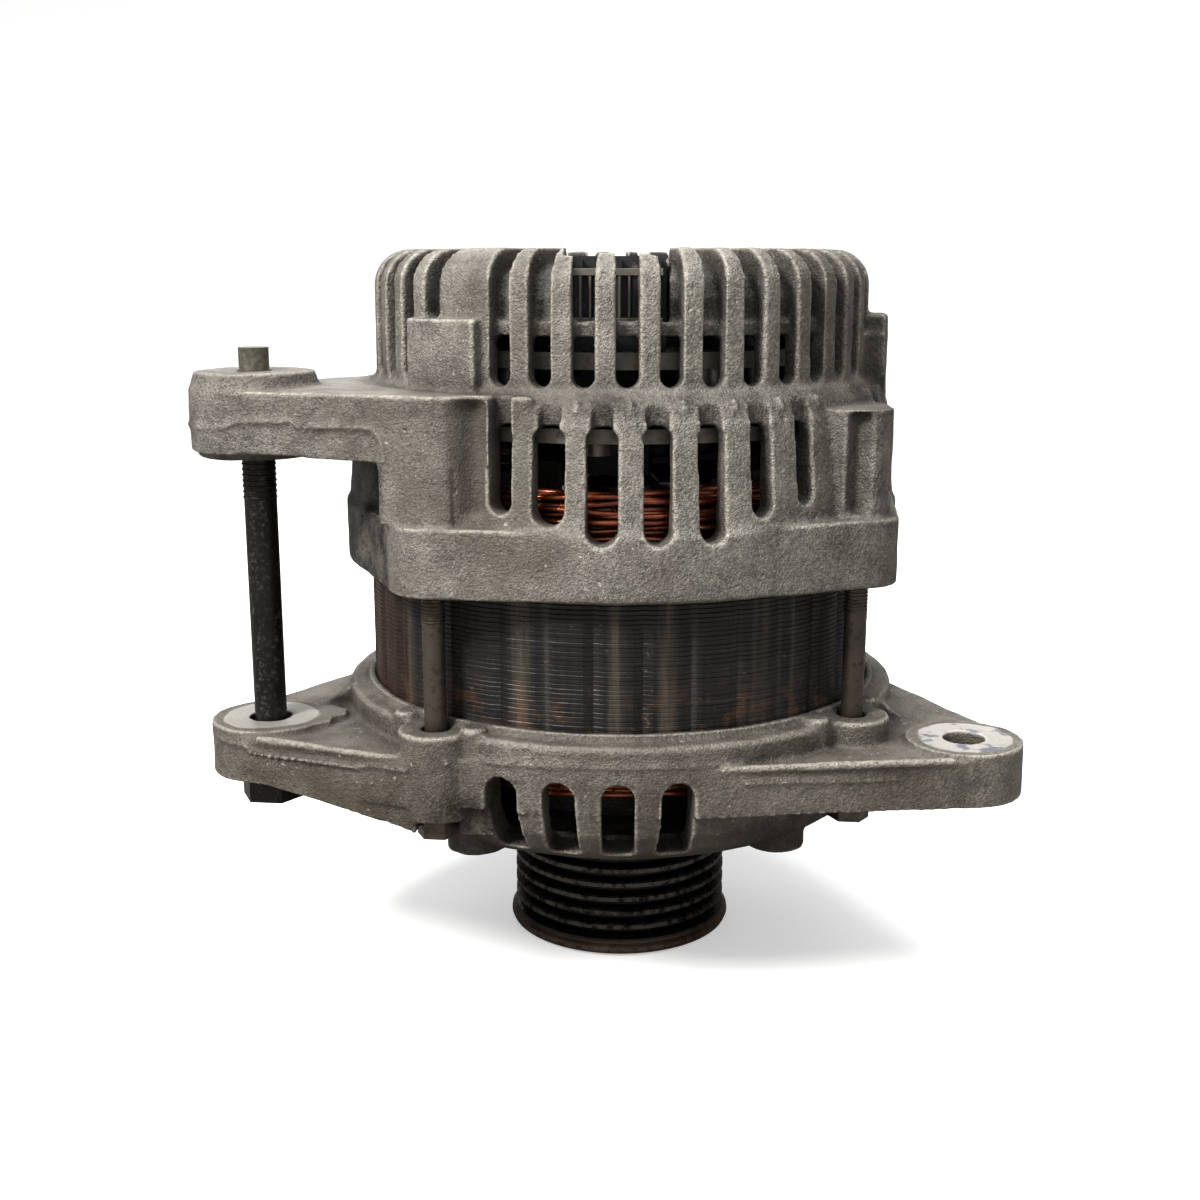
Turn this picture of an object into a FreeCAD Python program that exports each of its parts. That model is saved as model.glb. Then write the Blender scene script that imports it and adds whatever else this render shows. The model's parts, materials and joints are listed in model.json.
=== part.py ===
import FreeCAD, Part

import math
import os

import Sketcher

# Car alternator, millimetres. Z is the shaft axis, +Z from the pulley towards the slip ring end.
# The origin is on the shaft axis at the centre plane of the pulley's belt track. Angles are in
# degrees about Z, counted from -Y (front) towards +X (right). Two of the four through bolts stand
# at -32.2 and 57.8 degrees; both ears lie on the line y = ear_y.

os.makedirs("parts", exist_ok=True)
Vector = FreeCAD.Vector
Rotation = FreeCAD.Rotation
Placement = FreeCAD.Placement
Z_AXIS = Vector(0, 0, 1)
doc = FreeCAD.newDocument("alternator")
sheet = doc.addObject("Spreadsheet::Sheet", "dims")
values = {}
results = []


# ---------------------------------------------------------------- sheet and sketches
def dim(alias, value):
    """Sheet cell of a driving dimension; an alias that already exists keeps its first value."""
    if alias not in values:
        values[alias] = float("%.6g" % value)
        row = len(values)
        sheet.set("A%d" % row, alias)
        sheet.set("B%d" % row, "%.6g" % value)
        sheet.setAlias("B%d" % row, alias)
    return values[alias]


def bind(obj, prop, value, alias):
    dim(alias, value)
    obj.setExpression(prop, "dims." + alias)


def constrain(sketch, kind, where, value, label, key):
    """Dimension constraint driven by the cell key_label."""
    alias = key + "_" + label
    index = sketch.addConstraint(Sketcher.Constraint(kind, *where, dim(alias, value)))
    sketch.renameConstraint(index, label)
    sketch.setExpression("Constraints." + label, "dims." + alias)


def constrain_point(sketch, index, end, point, key):
    """Distances of one point of a geometry from the sketch origin."""
    where = (-1, 1, index, end)
    constrain(sketch, "DistanceX", where, point[0], "u%d" % index, key)
    constrain(sketch, "DistanceY", where, point[1], "v%d" % index, key)


def draw(sketch, key, points):
    """Closed outline with every corner and radius bound. A point is (u, v), or
    (u, v, mid_u, mid_v) when an arc through (mid_u, mid_v) leads to it."""
    ends = []
    count = len(points)
    for i, start in enumerate(points):
        stop = points[(i + 1) % count]
        first = Vector(start[0], start[1], 0)
        last = Vector(stop[0], stop[1], 0)
        if len(stop) == 2:
            sketch.addGeometry(Part.LineSegment(first, last), False)
            ends.append((1, 2))
            continue
        middle = Vector(stop[2], stop[3], 0)
        # sketch arcs always run counter-clockwise
        if (middle - first).cross(last - first).z > 0:
            sketch.addGeometry(Part.Arc(first, middle, last), False)
            ends.append((1, 2))
        else:
            sketch.addGeometry(Part.Arc(last, middle, first), False)
            ends.append((2, 1))
        constrain(sketch, "Radius", (i,), sketch.Geometry[i].Radius, "q%d" % i, key)
    for i in range(count):
        j = (i + 1) % count
        sketch.addConstraint(Sketcher.Constraint("Coincident", i, ends[i][1], j, ends[j][0]))
    for i, point in enumerate(points):
        constrain_point(sketch, i, ends[i][0], point, key)


def origin_part(body, role):
    return [o for o in body.Origin.OriginFeatures if o.Role == role][0]


def attach(body, name, side, angle, offset):
    """Sketch on origin plane XY, XZ or YZ, moved along its normal, then turned about Z."""
    sketch = body.newObject("Sketcher::SketchObject", name)
    sketch.AttachmentSupport = (origin_part(body, side + "_Plane"), [""])
    sketch.MapMode = "FlatFace"
    if side == "XY":
        move, axis = Vector(0, 0, offset), Z_AXIS
    else:
        turn = math.radians(angle)
        move = Vector(offset * math.sin(turn), 0, offset * math.cos(turn))
        axis = Vector(0, 1, 0)
    sketch.AttachmentOffset = Placement(move, Rotation(axis, angle))
    return sketch


def outline(body, name, side, points, angle=0.0, offset=0.0):
    sketch = attach(body, name, side, angle, offset)
    draw(sketch, name, points)
    return sketch


def circles(body, name, side, centres, radius, angle=0.0, offset=0.0):
    """Circles at the centres; radius is one number, or a list with one for each."""
    sketch = attach(body, name, side, angle, offset)
    radii = radius if isinstance(radius, list) else [radius] * len(centres)
    for i, (centre, r) in enumerate(zip(centres, radii)):
        sketch.addGeometry(Part.Circle(Vector(centre[0], centre[1], 0), Z_AXIS, r), False)
        constrain_point(sketch, i, 3, centre, name)
        constrain(sketch, "Radius", (i,), r, "q%d" % i, name)
    return sketch


# ---------------------------------------------------------------- plan positions and outlines
def around(radius, angle):
    """Plan position at an angle from -Y towards +X."""
    turn = math.radians(angle)
    return (radius * math.sin(turn), -radius * math.cos(turn))


def spaced(radius, count, start=0.0):
    return [around(radius, start + 360.0 * k / count) for k in range(count)]


def rect(u0, v0, u1, v1):
    return [(u0, v0), (u1, v0), (u1, v1), (u0, v1)]


def tangents(x, y, radius, hub):
    """Ends of the two outer tangents of a small circle at (x, y) and a hub circle on the axis,
    in the order hub, small, small, hub."""
    spread = math.acos((hub - radius) / math.hypot(x, y))
    middle = math.atan2(y, x)
    low, high = middle - spread, middle + spread
    return [(cx + r * math.cos(a), cy + r * math.sin(a)) for cx, cy, r, a in (
        (0, 0, hub, low), (x, y, radius, low), (x, y, radius, high), (0, 0, hub, high))]


def lobe(x, y, radius, hub, inset):
    """Tangent outline closed by a point at the share inset of the way to (x, y)."""
    return [(x * inset, y * inset)] + tangents(x, y, radius, hub)


# ---------------------------------------------------------------- body features
def new_body(name):
    body = doc.addObject("PartDesign::Body", name)
    body.AllowCompound = True
    return body


def keep(obj):
    """Mark a piece for export; its label names the file."""
    results.append(obj)
    return obj


def revolve(body, name, points, cut=False):
    """Turn an (radius, z) outline about the axis."""
    sketch = outline(body, name, "XZ", points)
    kind = "PartDesign::Groove" if cut else "PartDesign::Revolution"
    feature = body.newObject(kind, name + "_turned")
    feature.Profile = sketch
    feature.ReferenceAxis = (sketch, ["V_Axis"])
    feature.Angle = 360
    body.Tip = feature


def pad(body, sketch, length, symmetric=False, back=False):
    """Pad along the sketch normal, or against it when back is set."""
    name = sketch.Name + "_pad"
    feature = body.newObject("PartDesign::Pad", name)
    feature.Profile = sketch
    bind(feature, "Length", length, name + "_len")
    if symmetric:
        feature.SideType = "Symmetric"
    feature.Reversed = back
    body.Tip = feature
    return feature


def pocket(body, sketch, length, along=True):
    """Pocket along the sketch normal, or against it."""
    name = sketch.Name + "_pocket"
    feature = body.newObject("PartDesign::Pocket", name)
    feature.Profile = sketch
    bind(feature, "Length", length, name + "_len")
    feature.Reversed = along
    body.Tip = feature
    return feature


def polar(body, name, originals, count):
    feature = body.newObject("PartDesign::PolarPattern", name)
    feature.Originals = originals
    feature.Axis = (origin_part(body, "Z_Axis"), [""])
    feature.Angle = 360.0
    bind(feature, "Occurrences", count, name + "_count")
    body.Tip = feature


def turned(name, points):
    """Exported body that starts as a turned blank."""
    body = keep(new_body(name))
    revolve(body, name + "_profile", points)
    return body


def ring(name, inner, outer, z0, z1):
    return turned(name, rect(inner, z0, outer, z1))


# ---------------------------------------------------------------- free solids
def facing(angle, offset):
    """Frame that looks outwards at a distance from the axis: u across, v along Z."""
    turn = Rotation(Z_AXIS, angle).multiply(Rotation(Vector(1, 0, 0), 90))
    return Placement(Vector(*around(offset, angle), 0), turn)


def radial_plane(angle):
    """Frame in the plane through the axis: u is minus the radius, v is Z."""
    upright = Rotation(Vector(0, 1, 0), Z_AXIS, Vector(1, 0, 0), "ZXY")
    return Placement(Vector(0, 0, 0), Rotation(Z_AXIS, angle).multiply(upright))


def level(angle, z):
    return Placement(Vector(0, 0, z), Rotation(Z_AXIS, angle))


def bar(key, points, frame, length, symmetric=False):
    """Extruded outline; all bars with one key share their cells."""
    sketch = doc.addObject("Sketcher::SketchObject", key + "_sketch")
    sketch.Placement = frame
    draw(sketch, key, points)
    solid = doc.addObject("Part::Extrusion", key)
    solid.Base = sketch
    solid.DirMode = "Normal"
    solid.Solid = True
    solid.Symmetric = symmetric
    bind(solid, "LengthFwd", length, key + "_len")
    return solid


def primitive(kind, name, sizes, position, rotation=None):
    """Part primitive with its sizes {property: value} and position bound to cells."""
    solid = doc.addObject("Part::" + kind, name)
    for prop, value in sizes.items():
        bind(solid, prop, value, name + "_" + prop.lower())
    solid.Placement = Placement(Vector(*position), rotation or Rotation())
    for axis, value in zip("xyz", position):
        bind(solid, ".Placement.Base." + axis, value, "%s_p%s" % (name, axis))
    return solid


def cylinder(name, radius, length, position, rotation=None):
    return primitive("Cylinder", name, {"Radius": radius, "Height": length}, position, rotation)


def block(name, size, position, rotation=None):
    sizes = dict(zip(("Length", "Width", "Height"), size))
    return primitive("Box", name, sizes, position, rotation)


def hexagon(name, across_flats, height, position, rotation=None):
    sizes = {"Circumradius": across_flats / math.sqrt(3), "Height": height}
    solid = primitive("Prism", name, sizes, position, rotation)
    solid.Polygon = 6
    return solid


def fuse(name, parts):
    solid = doc.addObject("Part::MultiFuse", name)
    solid.Shapes = parts
    return solid


def cut(name, base, tool):
    solid = doc.addObject("Part::Cut", name)
    solid.Base = base
    solid.Tool = tool
    return solid


def group(name, parts):
    compound = doc.addObject("Part::Compound", name)
    compound.Links = parts
    return compound


def tube(name, inner, outer, z, length):
    """Cylinder on the axis with a bore that overshoots 1 mm at each end."""
    return cut(name, cylinder(name + "_outside", outer, length, (0, 0, z)),
               cylinder(name + "_bore", inner, length + 2, (0, 0, z - 1)))


def pins(name, spots, radius, length, z):
    """One exported group of equal upright cylinders."""
    keep(group(name, [cylinder("%s_pin%d" % (name, i), radius, length, spot + (z,))
                      for i, spot in enumerate(spots)]))


def screws(name, spots, head, shank):
    """One exported group of screws; head and shank are (radius, length, z)."""
    parts = []
    for i, spot in enumerate(spots):
        pieces = [cylinder("%s_%s%d" % (name, tag, i), radius, length, spot + (z,))
                  for tag, (radius, length, z) in (("head", head), ("shank", shank))]
        parts.append(fuse("%s_one%d" % (name, i), pieces))
    keep(group(name, parts))


# ---------------------------------------------------------------- shared dimensions
BOLT_R = dim("bolt_circle_r", 65.0)
EAR_Y = dim("ear_y", -36.35)
EAR_L = dim("ear_left_x", -77.5)
EAR_RT = dim("ear_right_x", 79.5)
BELT_PITCH = dim("belt_pitch", 3.56)
EARS = [(EAR_L, EAR_Y), (EAR_RT, EAR_Y)]
BOLT_ANGLES = [-32.2 + 90 * k for k in range(4)]
BOLTS = [around(BOLT_R, angle) for angle in BOLT_ANGLES]

CORE_Z0, CORE_Z1 = 49.5, 83.5  # front and rear faces of the stator core
CORE_R = 60.0
SEAT_R = CORE_R + 0.05  # stator seat in both frames
SLOT_COUNT = 36

SHAFT_R = 8.5  # at the pulley and the front bearing
CLAW_SEAT_R = 9.5
REAR_SHAFT_R = 7.5
FRONT_BEARING_R = 23.5
FRONT_BEARING_Z0 = 20.0
REAR_BEARING_R = 17.5
REAR_BEARING_Z0 = 128.0
SLEEVE_R = 18.5
POCKET_GAP = 0.02  # radial clearance of the bearing pockets
RETAINER_Z, RETAINER_T = 34.2, 1.8
RETAINER_SCREWS = spaced(27.0, 4, 10)

RING_R, RING_BORE_R, RING_WIDTH = 9.5, 8.6, 7.0
RING_CENTRES = (107.5, 116.5)  # z of the slip rings and the brushes

DIODE_R = 6.35
NEGATIVE_DIODES = spaced(44.5, 6, 30)
POSITIVE_DIODES = spaced(41.0, 6, 30)
TIES = spaced(35.5, 3, 60)
POSTS = spaced(52.6, 3)
LEADS = spaced(50.5, 3, 20)
NEGATIVE_Z = 112.5
NEGATIVE_T = 3.0

REGULATOR_ANGLE = 4.5
SOCKET_ANGLE = 140
TERMINAL_ANGLE = 180
TERMINAL_Z = 128


# ---------------------------------------------------------------- drive end frame
# Turned outlines are (radius, z).
DRIVE_SHELL = [
    (0, 17), (30, 17), (42, 18.6), (50, 20.4), (56, 22.6), (60, 25.6), (63, 30), (65, 36),
    (66, 43), (66, 50), (65.2, 50.8), (61.7, 50.8), (61.7, 52.3), (0, 52.3)]
DRIVE_INSIDE = [
    (0, 15), (12.5, 15), (12.5, FRONT_BEARING_Z0),
    (FRONT_BEARING_R + POCKET_GAP, FRONT_BEARING_Z0),
    (FRONT_BEARING_R + POCKET_GAP, RETAINER_Z), (30.5, RETAINER_Z), (30.5, 23.0), (40, 23.2),
    (45, 24.2), (52, 26.4), (56, 29.5), (58, 34), (58.4, 40), (58.4, CORE_Z0),
    (SEAT_R, CORE_Z0), (SEAT_R, 54), (0, 54)]
# (x, y) of the web beside the left ear, towards the front
DRIVE_FRONT_WEB = [(-40, -20), (EAR_L, EAR_Y), (-81.44, -49.05), (-37.03, -62.83), (-34.6, -55.0)]
DRIVE_KEEL = [(-74, 35), (-54, 32.0), (-38, 27.8), (-22, 27.8), (-22, 40), (-74, 40)]  # (x, z)
# (minus radius, z) of the haunch under each web
HAUNCH = [(-50, 26), (-57, 28.5), (-64, 31.5), (-76, 34.9), (-76, 44), (-50, 44)]


def drive_end_frame():
    web_z, web_height = 34.8, 10.4
    ear_radii = [13.3, 12.8]
    lug_z = 31.5
    body = new_body("drive_end_blank")
    revolve(body, "drive_shell", DRIVE_SHELL)
    # flat webs from the rim to the two ears
    for tag, (x, y), radius in zip(("left", "right"), EARS, ear_radii):
        web = lobe(x, y, radius, 65.5, 0.55)
        pad(body, outline(body, "drive_web_" + tag, "XY", web, offset=web_z), web_height)
    sketch = outline(body, "drive_web_front", "XY", DRIVE_FRONT_WEB, offset=web_z)
    pad(body, sketch, web_height)
    pad(body, circles(body, "drive_ear", "XY", EARS, ear_radii, offset=34.5), 12.0)
    # keel and haunches under the webs, towards the rim
    pad(body, outline(body, "drive_keel", "XZ", DRIVE_KEEL, offset=44), 14.0)
    for tag, (x, y) in zip(("left", "right"), EARS):
        angle = math.degrees(math.atan2(x, -y))
        sketch = outline(body, "drive_haunch_" + tag, "YZ", HAUNCH, angle=angle)
        pad(body, sketch, 17.0, symmetric=True)
    # through bolt lugs, and round bosses low on the bowl
    pad(body, circles(body, "drive_lug", "XY", BOLTS, 8.2, offset=lug_z), 19.3)
    bosses = [around(53.0, angle) for angle in (-32, 47, 148, 227)]
    pad(body, circles(body, "drive_boss", "XY", bosses, 6.5, offset=20.0), 10.0)
    # small round pads on the rim on both sides of each lug, and a block on the skirt
    buttons = [around(63.6, angle + turn) for angle in BOLT_ANGLES for turn in (-10.2, 8.2)]
    pad(body, circles(body, "drive_button", "XY", buttons, 2.75, offset=46.0), 6.1)
    key = rect(-2.3, 36.8, 2.3, 45)
    pad(body, outline(body, "drive_key", "XZ", key, angle=-30.3, offset=58), 10.2)
    # bearing pocket, hub wall, dome and stator seat
    revolve(body, "drive_inside", DRIVE_INSIDE, cut=True)
    # holes: name, centres, radius, z they are cut down from, depth
    for name, centres, radius, z, depth in (
            ("drive_hole", BOLTS, 3.1, 60, 60.0),
            ("drive_spot", BOLTS, 5.9, lug_z, 14.0),
            ("drive_ear_hole", EARS, [4.75, 4.5], 60, 60.0),
            ("drive_retainer_hole", RETAINER_SCREWS, 2.0, RETAINER_Z, 8.0)):
        pocket(body, circles(body, name, "XY", centres, radius, offset=z), depth, along=False)
    keep(cut("drive_end_frame", body, group("drive_slots", drive_slots())))


def drive_slots():
    """Four round-topped slots in each quarter; tall at the front and back, short at the sides."""
    half = 3.5
    kinds = (("drive_slot_tall", 24.8, 43.0, 50.0, 30.0),  # key, low z, top z, start, length
             ("drive_slot_short", 22.5, 31.5, 48.0, 16.0))
    slots = []
    for quarter in range(4):
        key, low, top, start, length = kinds[quarter % 2]
        points = [(-half, low), (half, low), (half, top - half),
                  (-half, top - half, 0, top - 0.3)]
        for i in range(4):
            frame = facing(-17.3 + 11.2 * i + 90 * quarter, start)
            slots.append(bar(key, points, frame, length))
    return slots


# ---------------------------------------------------------------- rear frame
SKIRT_Z, SKIRT_H = 80.7, 14.9
TIER_Z, TIER_H = 118.0, 19.3  # solid blocks of the upper tier
REAR_SHELL = [
    (0, SKIRT_Z), (64.6, SKIRT_Z), (65.4, 81.5), (65.4, 94.6), (64.6, 95.8), (64.4, 98),
    (63.4, 108), (62.6, 117), (61.4, 120.2), (59.2, 122.2), (57.6, 123.6), (57.5, 143.5),
    (49.5, 151.5, 55.157, 149.157), (34.5, 151.5), (31, 148.9), (0, 148.9)]
REAR_INSIDE = [
    (0, 79), (SEAT_R, 79), (SEAT_R, CORE_Z1), (58.5, CORE_Z1), (58.5, 117.0), (53.5, 121.5),
    (53.5, 132.5), (49.2, 136), (49.2, 141), (47, 143.4), (23.5, 143.4), (23.5, 127.5),
    (SLEEVE_R + POCKET_GAP, 127.5), (SLEEVE_R + POCKET_GAP, 139.5), (0, 139.5)]
# (x, y) of the column at the first bolt
COLUMN = [(-42.8, -54.5), (-40.5, -59.0), (-35.5, -61.6), (-28, -61.3), (-21.5, -60.5),
          (-20, -50), (-40, -45)]
# (radius, angle past the bolt) of an upper tier block, and (radius, angle) of the right side one
BOLT_BLOCK = [(48, -10.5), (60.2, -11.8), (60.4, -2), (60.2, 7.4), (48, 8.5)]
SIDE_BLOCK = [(50, 80), (61.8, 80.5), (62.2, 86), (61.8, 91.5), (50, 92)]
# lower tier windows of a quarter: angle, half width, z of the bottom
LOW_WINDOWS = [
    (-17.2, 2.3, 98.2), (-7.9, 3.3, 96.0), (2.0, 3.2, 92.4), (12.2, 2.9, 92.4),
    (22.3, 2.7, 92.6), (32.4, 2.4, 97.2), (42.4, 2.1, 99.0)]
# (minus radius, z) of a groove between the fins
FIN_GROOVE = [
    (-54.6, 133.0), (-75, 133.0), (-75, 160), (-31, 160), (-31, 148.2), (-45.5, 147.6),
    (-50.6, 145.6), (-53.0, 141.5), (-53.0, 137.0), (-54.6, 136.8)]


def rear_frame():
    body = new_body("rear_blank")
    revolve(body, "rear_shell", REAR_SHELL)
    rear_outside(body)
    revolve(body, "rear_inside", REAR_INSIDE, cut=True)
    # posts for the heat sink screws, hanging from the shoulder
    pad(body, circles(body, "rear_post", "XY", POSTS, 4.2, offset=115.5), 8.0)
    rear_openings(body)
    step = cut("rear_low_cut", body, group("rear_low_windows", low_windows()))
    step = cut("rear_up_cut", step, group("rear_up_windows", upper_windows()))
    # grooves between the fins, over the shoulder and across the top
    grooves = [bar("rear_fin", FIN_GROOVE, radial_plane(fin_angle(quarter, i)), 4.7, True)
               for quarter in range(4) for i in range(10 if quarter == 0 else 9)]
    keep(cut("rear_frame", step, group("rear_fin_grooves", grooves)))


def rear_outside(body):
    lug_r = 8.5
    # skirt lobes and columns around the through bolts
    for i, (x, y) in enumerate(BOLTS):
        points = lobe(x, y, lug_r, 64.8, 0.6)
        pad(body, outline(body, "rear_lobe%d" % i, "XY", points, offset=SKIRT_Z), SKIRT_H)
        turn = math.radians(90 * i)
        cos, sin = math.cos(turn), math.sin(turn)
        points = [(u * cos - v * sin, u * sin + v * cos) for u, v in COLUMN]
        pad(body, outline(body, "rear_column%d" % i, "XY", points, offset=95), 23.5)
    pad(body, circles(body, "rear_lug", "XY", BOLTS, lug_r, offset=SKIRT_Z), SKIRT_H)
    # solid blocks of the upper tier: over three through bolts, and on the right side
    for i in (0, 2, 3):
        points = [around(radius, BOLT_ANGLES[i] + angle) for radius, angle in BOLT_BLOCK]
        pad(body, outline(body, "rear_block%d" % i, "XY", points, offset=TIER_Z), TIER_H)
    points = [around(radius, angle) for radius, angle in SIDE_BLOCK]
    pad(body, outline(body, "rear_side", "XY", points, offset=TIER_Z), TIER_H)
    # left ear with its arm
    _, ear_low, ear_high, _ = tangents(EAR_L, EAR_Y, 13.4, 62.0)
    arm = [(-30, -14), (-12, -60.5), (-33, -62.8), (-45, -58.5), (-60, -54.5), ear_low,
           ear_high, (-69, -13), (-61.5, -6), (-60.5, 6)]
    pad(body, outline(body, "rear_arm", "XY", arm, offset=108.3), 13.9)
    ear = EARS[:1]
    pad(body, circles(body, "rear_ear", "XY", ear, 14.3, offset=108.4), 13.6)
    pad(body, circles(body, "rear_ear_low", "XY", ear, 12.9, offset=107), 4.0)
    crown = body.newObject("PartDesign::AdditiveCone", "rear_crown")
    bind(crown, "Radius1", 14.2, "rear_crown_low_r")
    bind(crown, "Radius2", 13.0, "rear_crown_top_r")
    bind(crown, "Height", 3.9, "rear_crown_len")
    crown.Placement = Placement(Vector(EAR_L, EAR_Y, 121.6), Rotation())
    body.Tip = crown
    # round terminal pad on the back
    sketch = circles(body, "rear_terminal_boss", "XZ", [(0, TERMINAL_Z)], 12.5,
                     angle=TERMINAL_ANGLE, offset=48)
    pad(body, sketch, 10.5)


def rear_openings(body):
    # regulator opening in the roof, socket opening, terminal hole
    roof = rect(-10.6, 136.2, 10.6, 156)
    sketch = outline(body, "rear_roof", "XZ", roof, angle=REGULATOR_ANGLE, offset=29)
    pocket(body, sketch, 24.0)
    opening = rect(-13.1, 120.4, 13.1, 136.6)
    sketch = outline(body, "rear_socket", "XZ", opening, angle=SOCKET_ANGLE, offset=46)
    pocket(body, sketch, 30.0)
    terminal = [(0, TERMINAL_Z)]
    sketch = circles(body, "rear_terminal", "XZ", terminal, 8.05, TERMINAL_ANGLE, 46)
    pocket(body, sketch, 20.0)
    # through bolt holes, round seat of the terminal, heat sink screw holes
    pocket(body, circles(body, "rear_bolt_hole", "XY", BOLTS, 2.5, offset=79), 22.0)
    sketch = circles(body, "rear_terminal_seat", "XZ", terminal, 11.4, TERMINAL_ANGLE, 58.5)
    pocket(body, sketch, 14.0)
    pocket(body, circles(body, "rear_post_hole", "XY", POSTS, 2.05, offset=115), 6.0)


def fin_angle(quarter, i):
    return -20.3 + 9.0 * i + 90 * quarter


def low_windows():
    """Windows with rounded bottoms and chamfered tops; the last quarter has only three."""
    top = 116.4
    tools = []
    for quarter in range(4):
        for i, (angle, half, bottom) in enumerate(LOW_WINDOWS[:3 if quarter == 3 else 7]):
            points = [
                (-half, bottom + half), (half, bottom + half, 0, bottom + 0.08 * half),
                (half, top - half * 0.5), (half * 0.5, top),
                (-half * 0.5, top), (-half, top - half * 0.5)]
            tools.append(bar("rear_low%d" % i, points, facing(angle + 90 * quarter, 50), 26.0))
    return tools


def upper_windows():
    """Ear bore, hollows down two columns, reliefs over the low windows, upper tier windows."""
    half, low, top = 2.35, 125.75, 133.9
    window = [(-half, low), (half, low, 0, 123.6), (half, top), (-half, top)]
    relief = rect(-2.2, 112.0, 2.2, 123.0)
    tools = [
        cylinder("rear_ear_bore", 3.7, 40.0, (EAR_L, EAR_Y, 100.0)),
        bar("rear_hollow_left", rect(-1.8, 96.6, 1.8, 119.5), facing(-28.5, 68.6), 8.0),
        bar("rear_hollow_right", rect(-1.9, 96.6, 1.9, 118.0), facing(52.5, 63.0), 12.0)]
    for quarter in range(4):
        if quarter != 3:
            for angle, _, _ in LOW_WINDOWS:
                tools.append(bar("rear_relief", relief, facing(angle + 90 * quarter, 60.5), 7.0))
        for i in range(10 if quarter == 0 else 8):
            # the right side block stays closed
            if quarter == 1 and i in (1, 2):
                continue
            tools.append(bar("rear_up", window, facing(fin_angle(quarter, i), 46), 26.0))
    return tools


# ---------------------------------------------------------------- stator
def stator_core():
    body = new_body("core_blank")
    revolve(body, "core_stack", rect(46.1, CORE_Z0, CORE_R, CORE_Z1))
    # (radius, across) of a slot with a narrow mouth, and of the notch in the outside
    slot = [(40, -1.1), (47.4, -1.1), (47.6, -2.3), (55.8, -2.3),
            (55.8, 2.3), (47.6, 2.3), (47.4, 1.1), (40, 1.1)]
    notch = rect(59.35, -1.2, 62, 1.2)
    pitch = 360 / SLOT_COUNT
    tools = []
    for i in range(SLOT_COUNT):
        tools.append(bar("core_slot", slot, level(pitch * i, 49), 36.0))
        tools.append(bar("core_notch", notch, level(pitch * (i + 0.5), 49), 36.0))
    keep(cut("stator_core", body, group("core_tools", tools)))


def stator_winding():
    """Two end turns joined by a leg in every slot."""
    body = keep(new_body("stator_winding"))
    front = [(47.7, 33.5), (51, 33.5), (54.3, 40), (55.4, 48.7), (47.7, 48.7)]
    rear = [(47.7, 84.3), (55.6, 84.3), (56.6, 97.5), (55, 102.5), (51, 104.5), (47.7, 103)]
    revolve(body, "winding_front", front)
    revolve(body, "winding_rear", rear)
    sketch = outline(body, "winding_leg", "XY", rect(47.95, -1.85, 55.35, 1.85), offset=48.0)
    polar(body, "winding_legs", [pad(body, sketch, 37.0)], SLOT_COUNT)


def slot_liners():
    body = keep(new_body("slot_liners"))
    sketch = outline(body, "liner_out", "XY", rect(47.75, -2.25, 55.75, 2.25), offset=CORE_Z0)
    outside = pad(body, sketch, CORE_Z1 - CORE_Z0)
    sketch = outline(body, "liner_in", "XY", rect(47.9, -1.95, 55.45, 1.95), offset=49)
    polar(body, "liners", [outside, pocket(body, sketch, 36.0)], SLOT_COUNT)


def phase_leads():
    pins("phase_leads", LEADS, 1.1, 14.9, 104.6)


# ---------------------------------------------------------------- fasteners of the frames
def through_bolts():
    parts = []
    for i, (x, y) in enumerate(BOLTS):
        parts.append(fuse("bolt%d" % i, [
            hexagon("bolt%d_head" % i, 8.0, 4.6, (x, y, 26.6)),
            cylinder("bolt%d_flange" % i, 5.2, 0.9, (x, y, 30.6)),
            cylinder("bolt%d_shank" % i, 2.42, 67.0, (x, y, 31.0))]))
    keep(group("through_bolts", parts))


def pivot_bolt():
    keep(fuse("pivot_bolt", [
        hexagon("pivot_head", 13.0, 6.0, (EAR_L, EAR_Y, 27.4)),
        cylinder("pivot_flange", 8.6, 1.5, (EAR_L, EAR_Y, 33.0)),
        cylinder("pivot_shank", 3.62, 91.7, (EAR_L, EAR_Y, 34.0)),
        cylinder("pivot_tip", 3.3, 5.9, (EAR_L, EAR_Y, 124.6))]))


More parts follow.
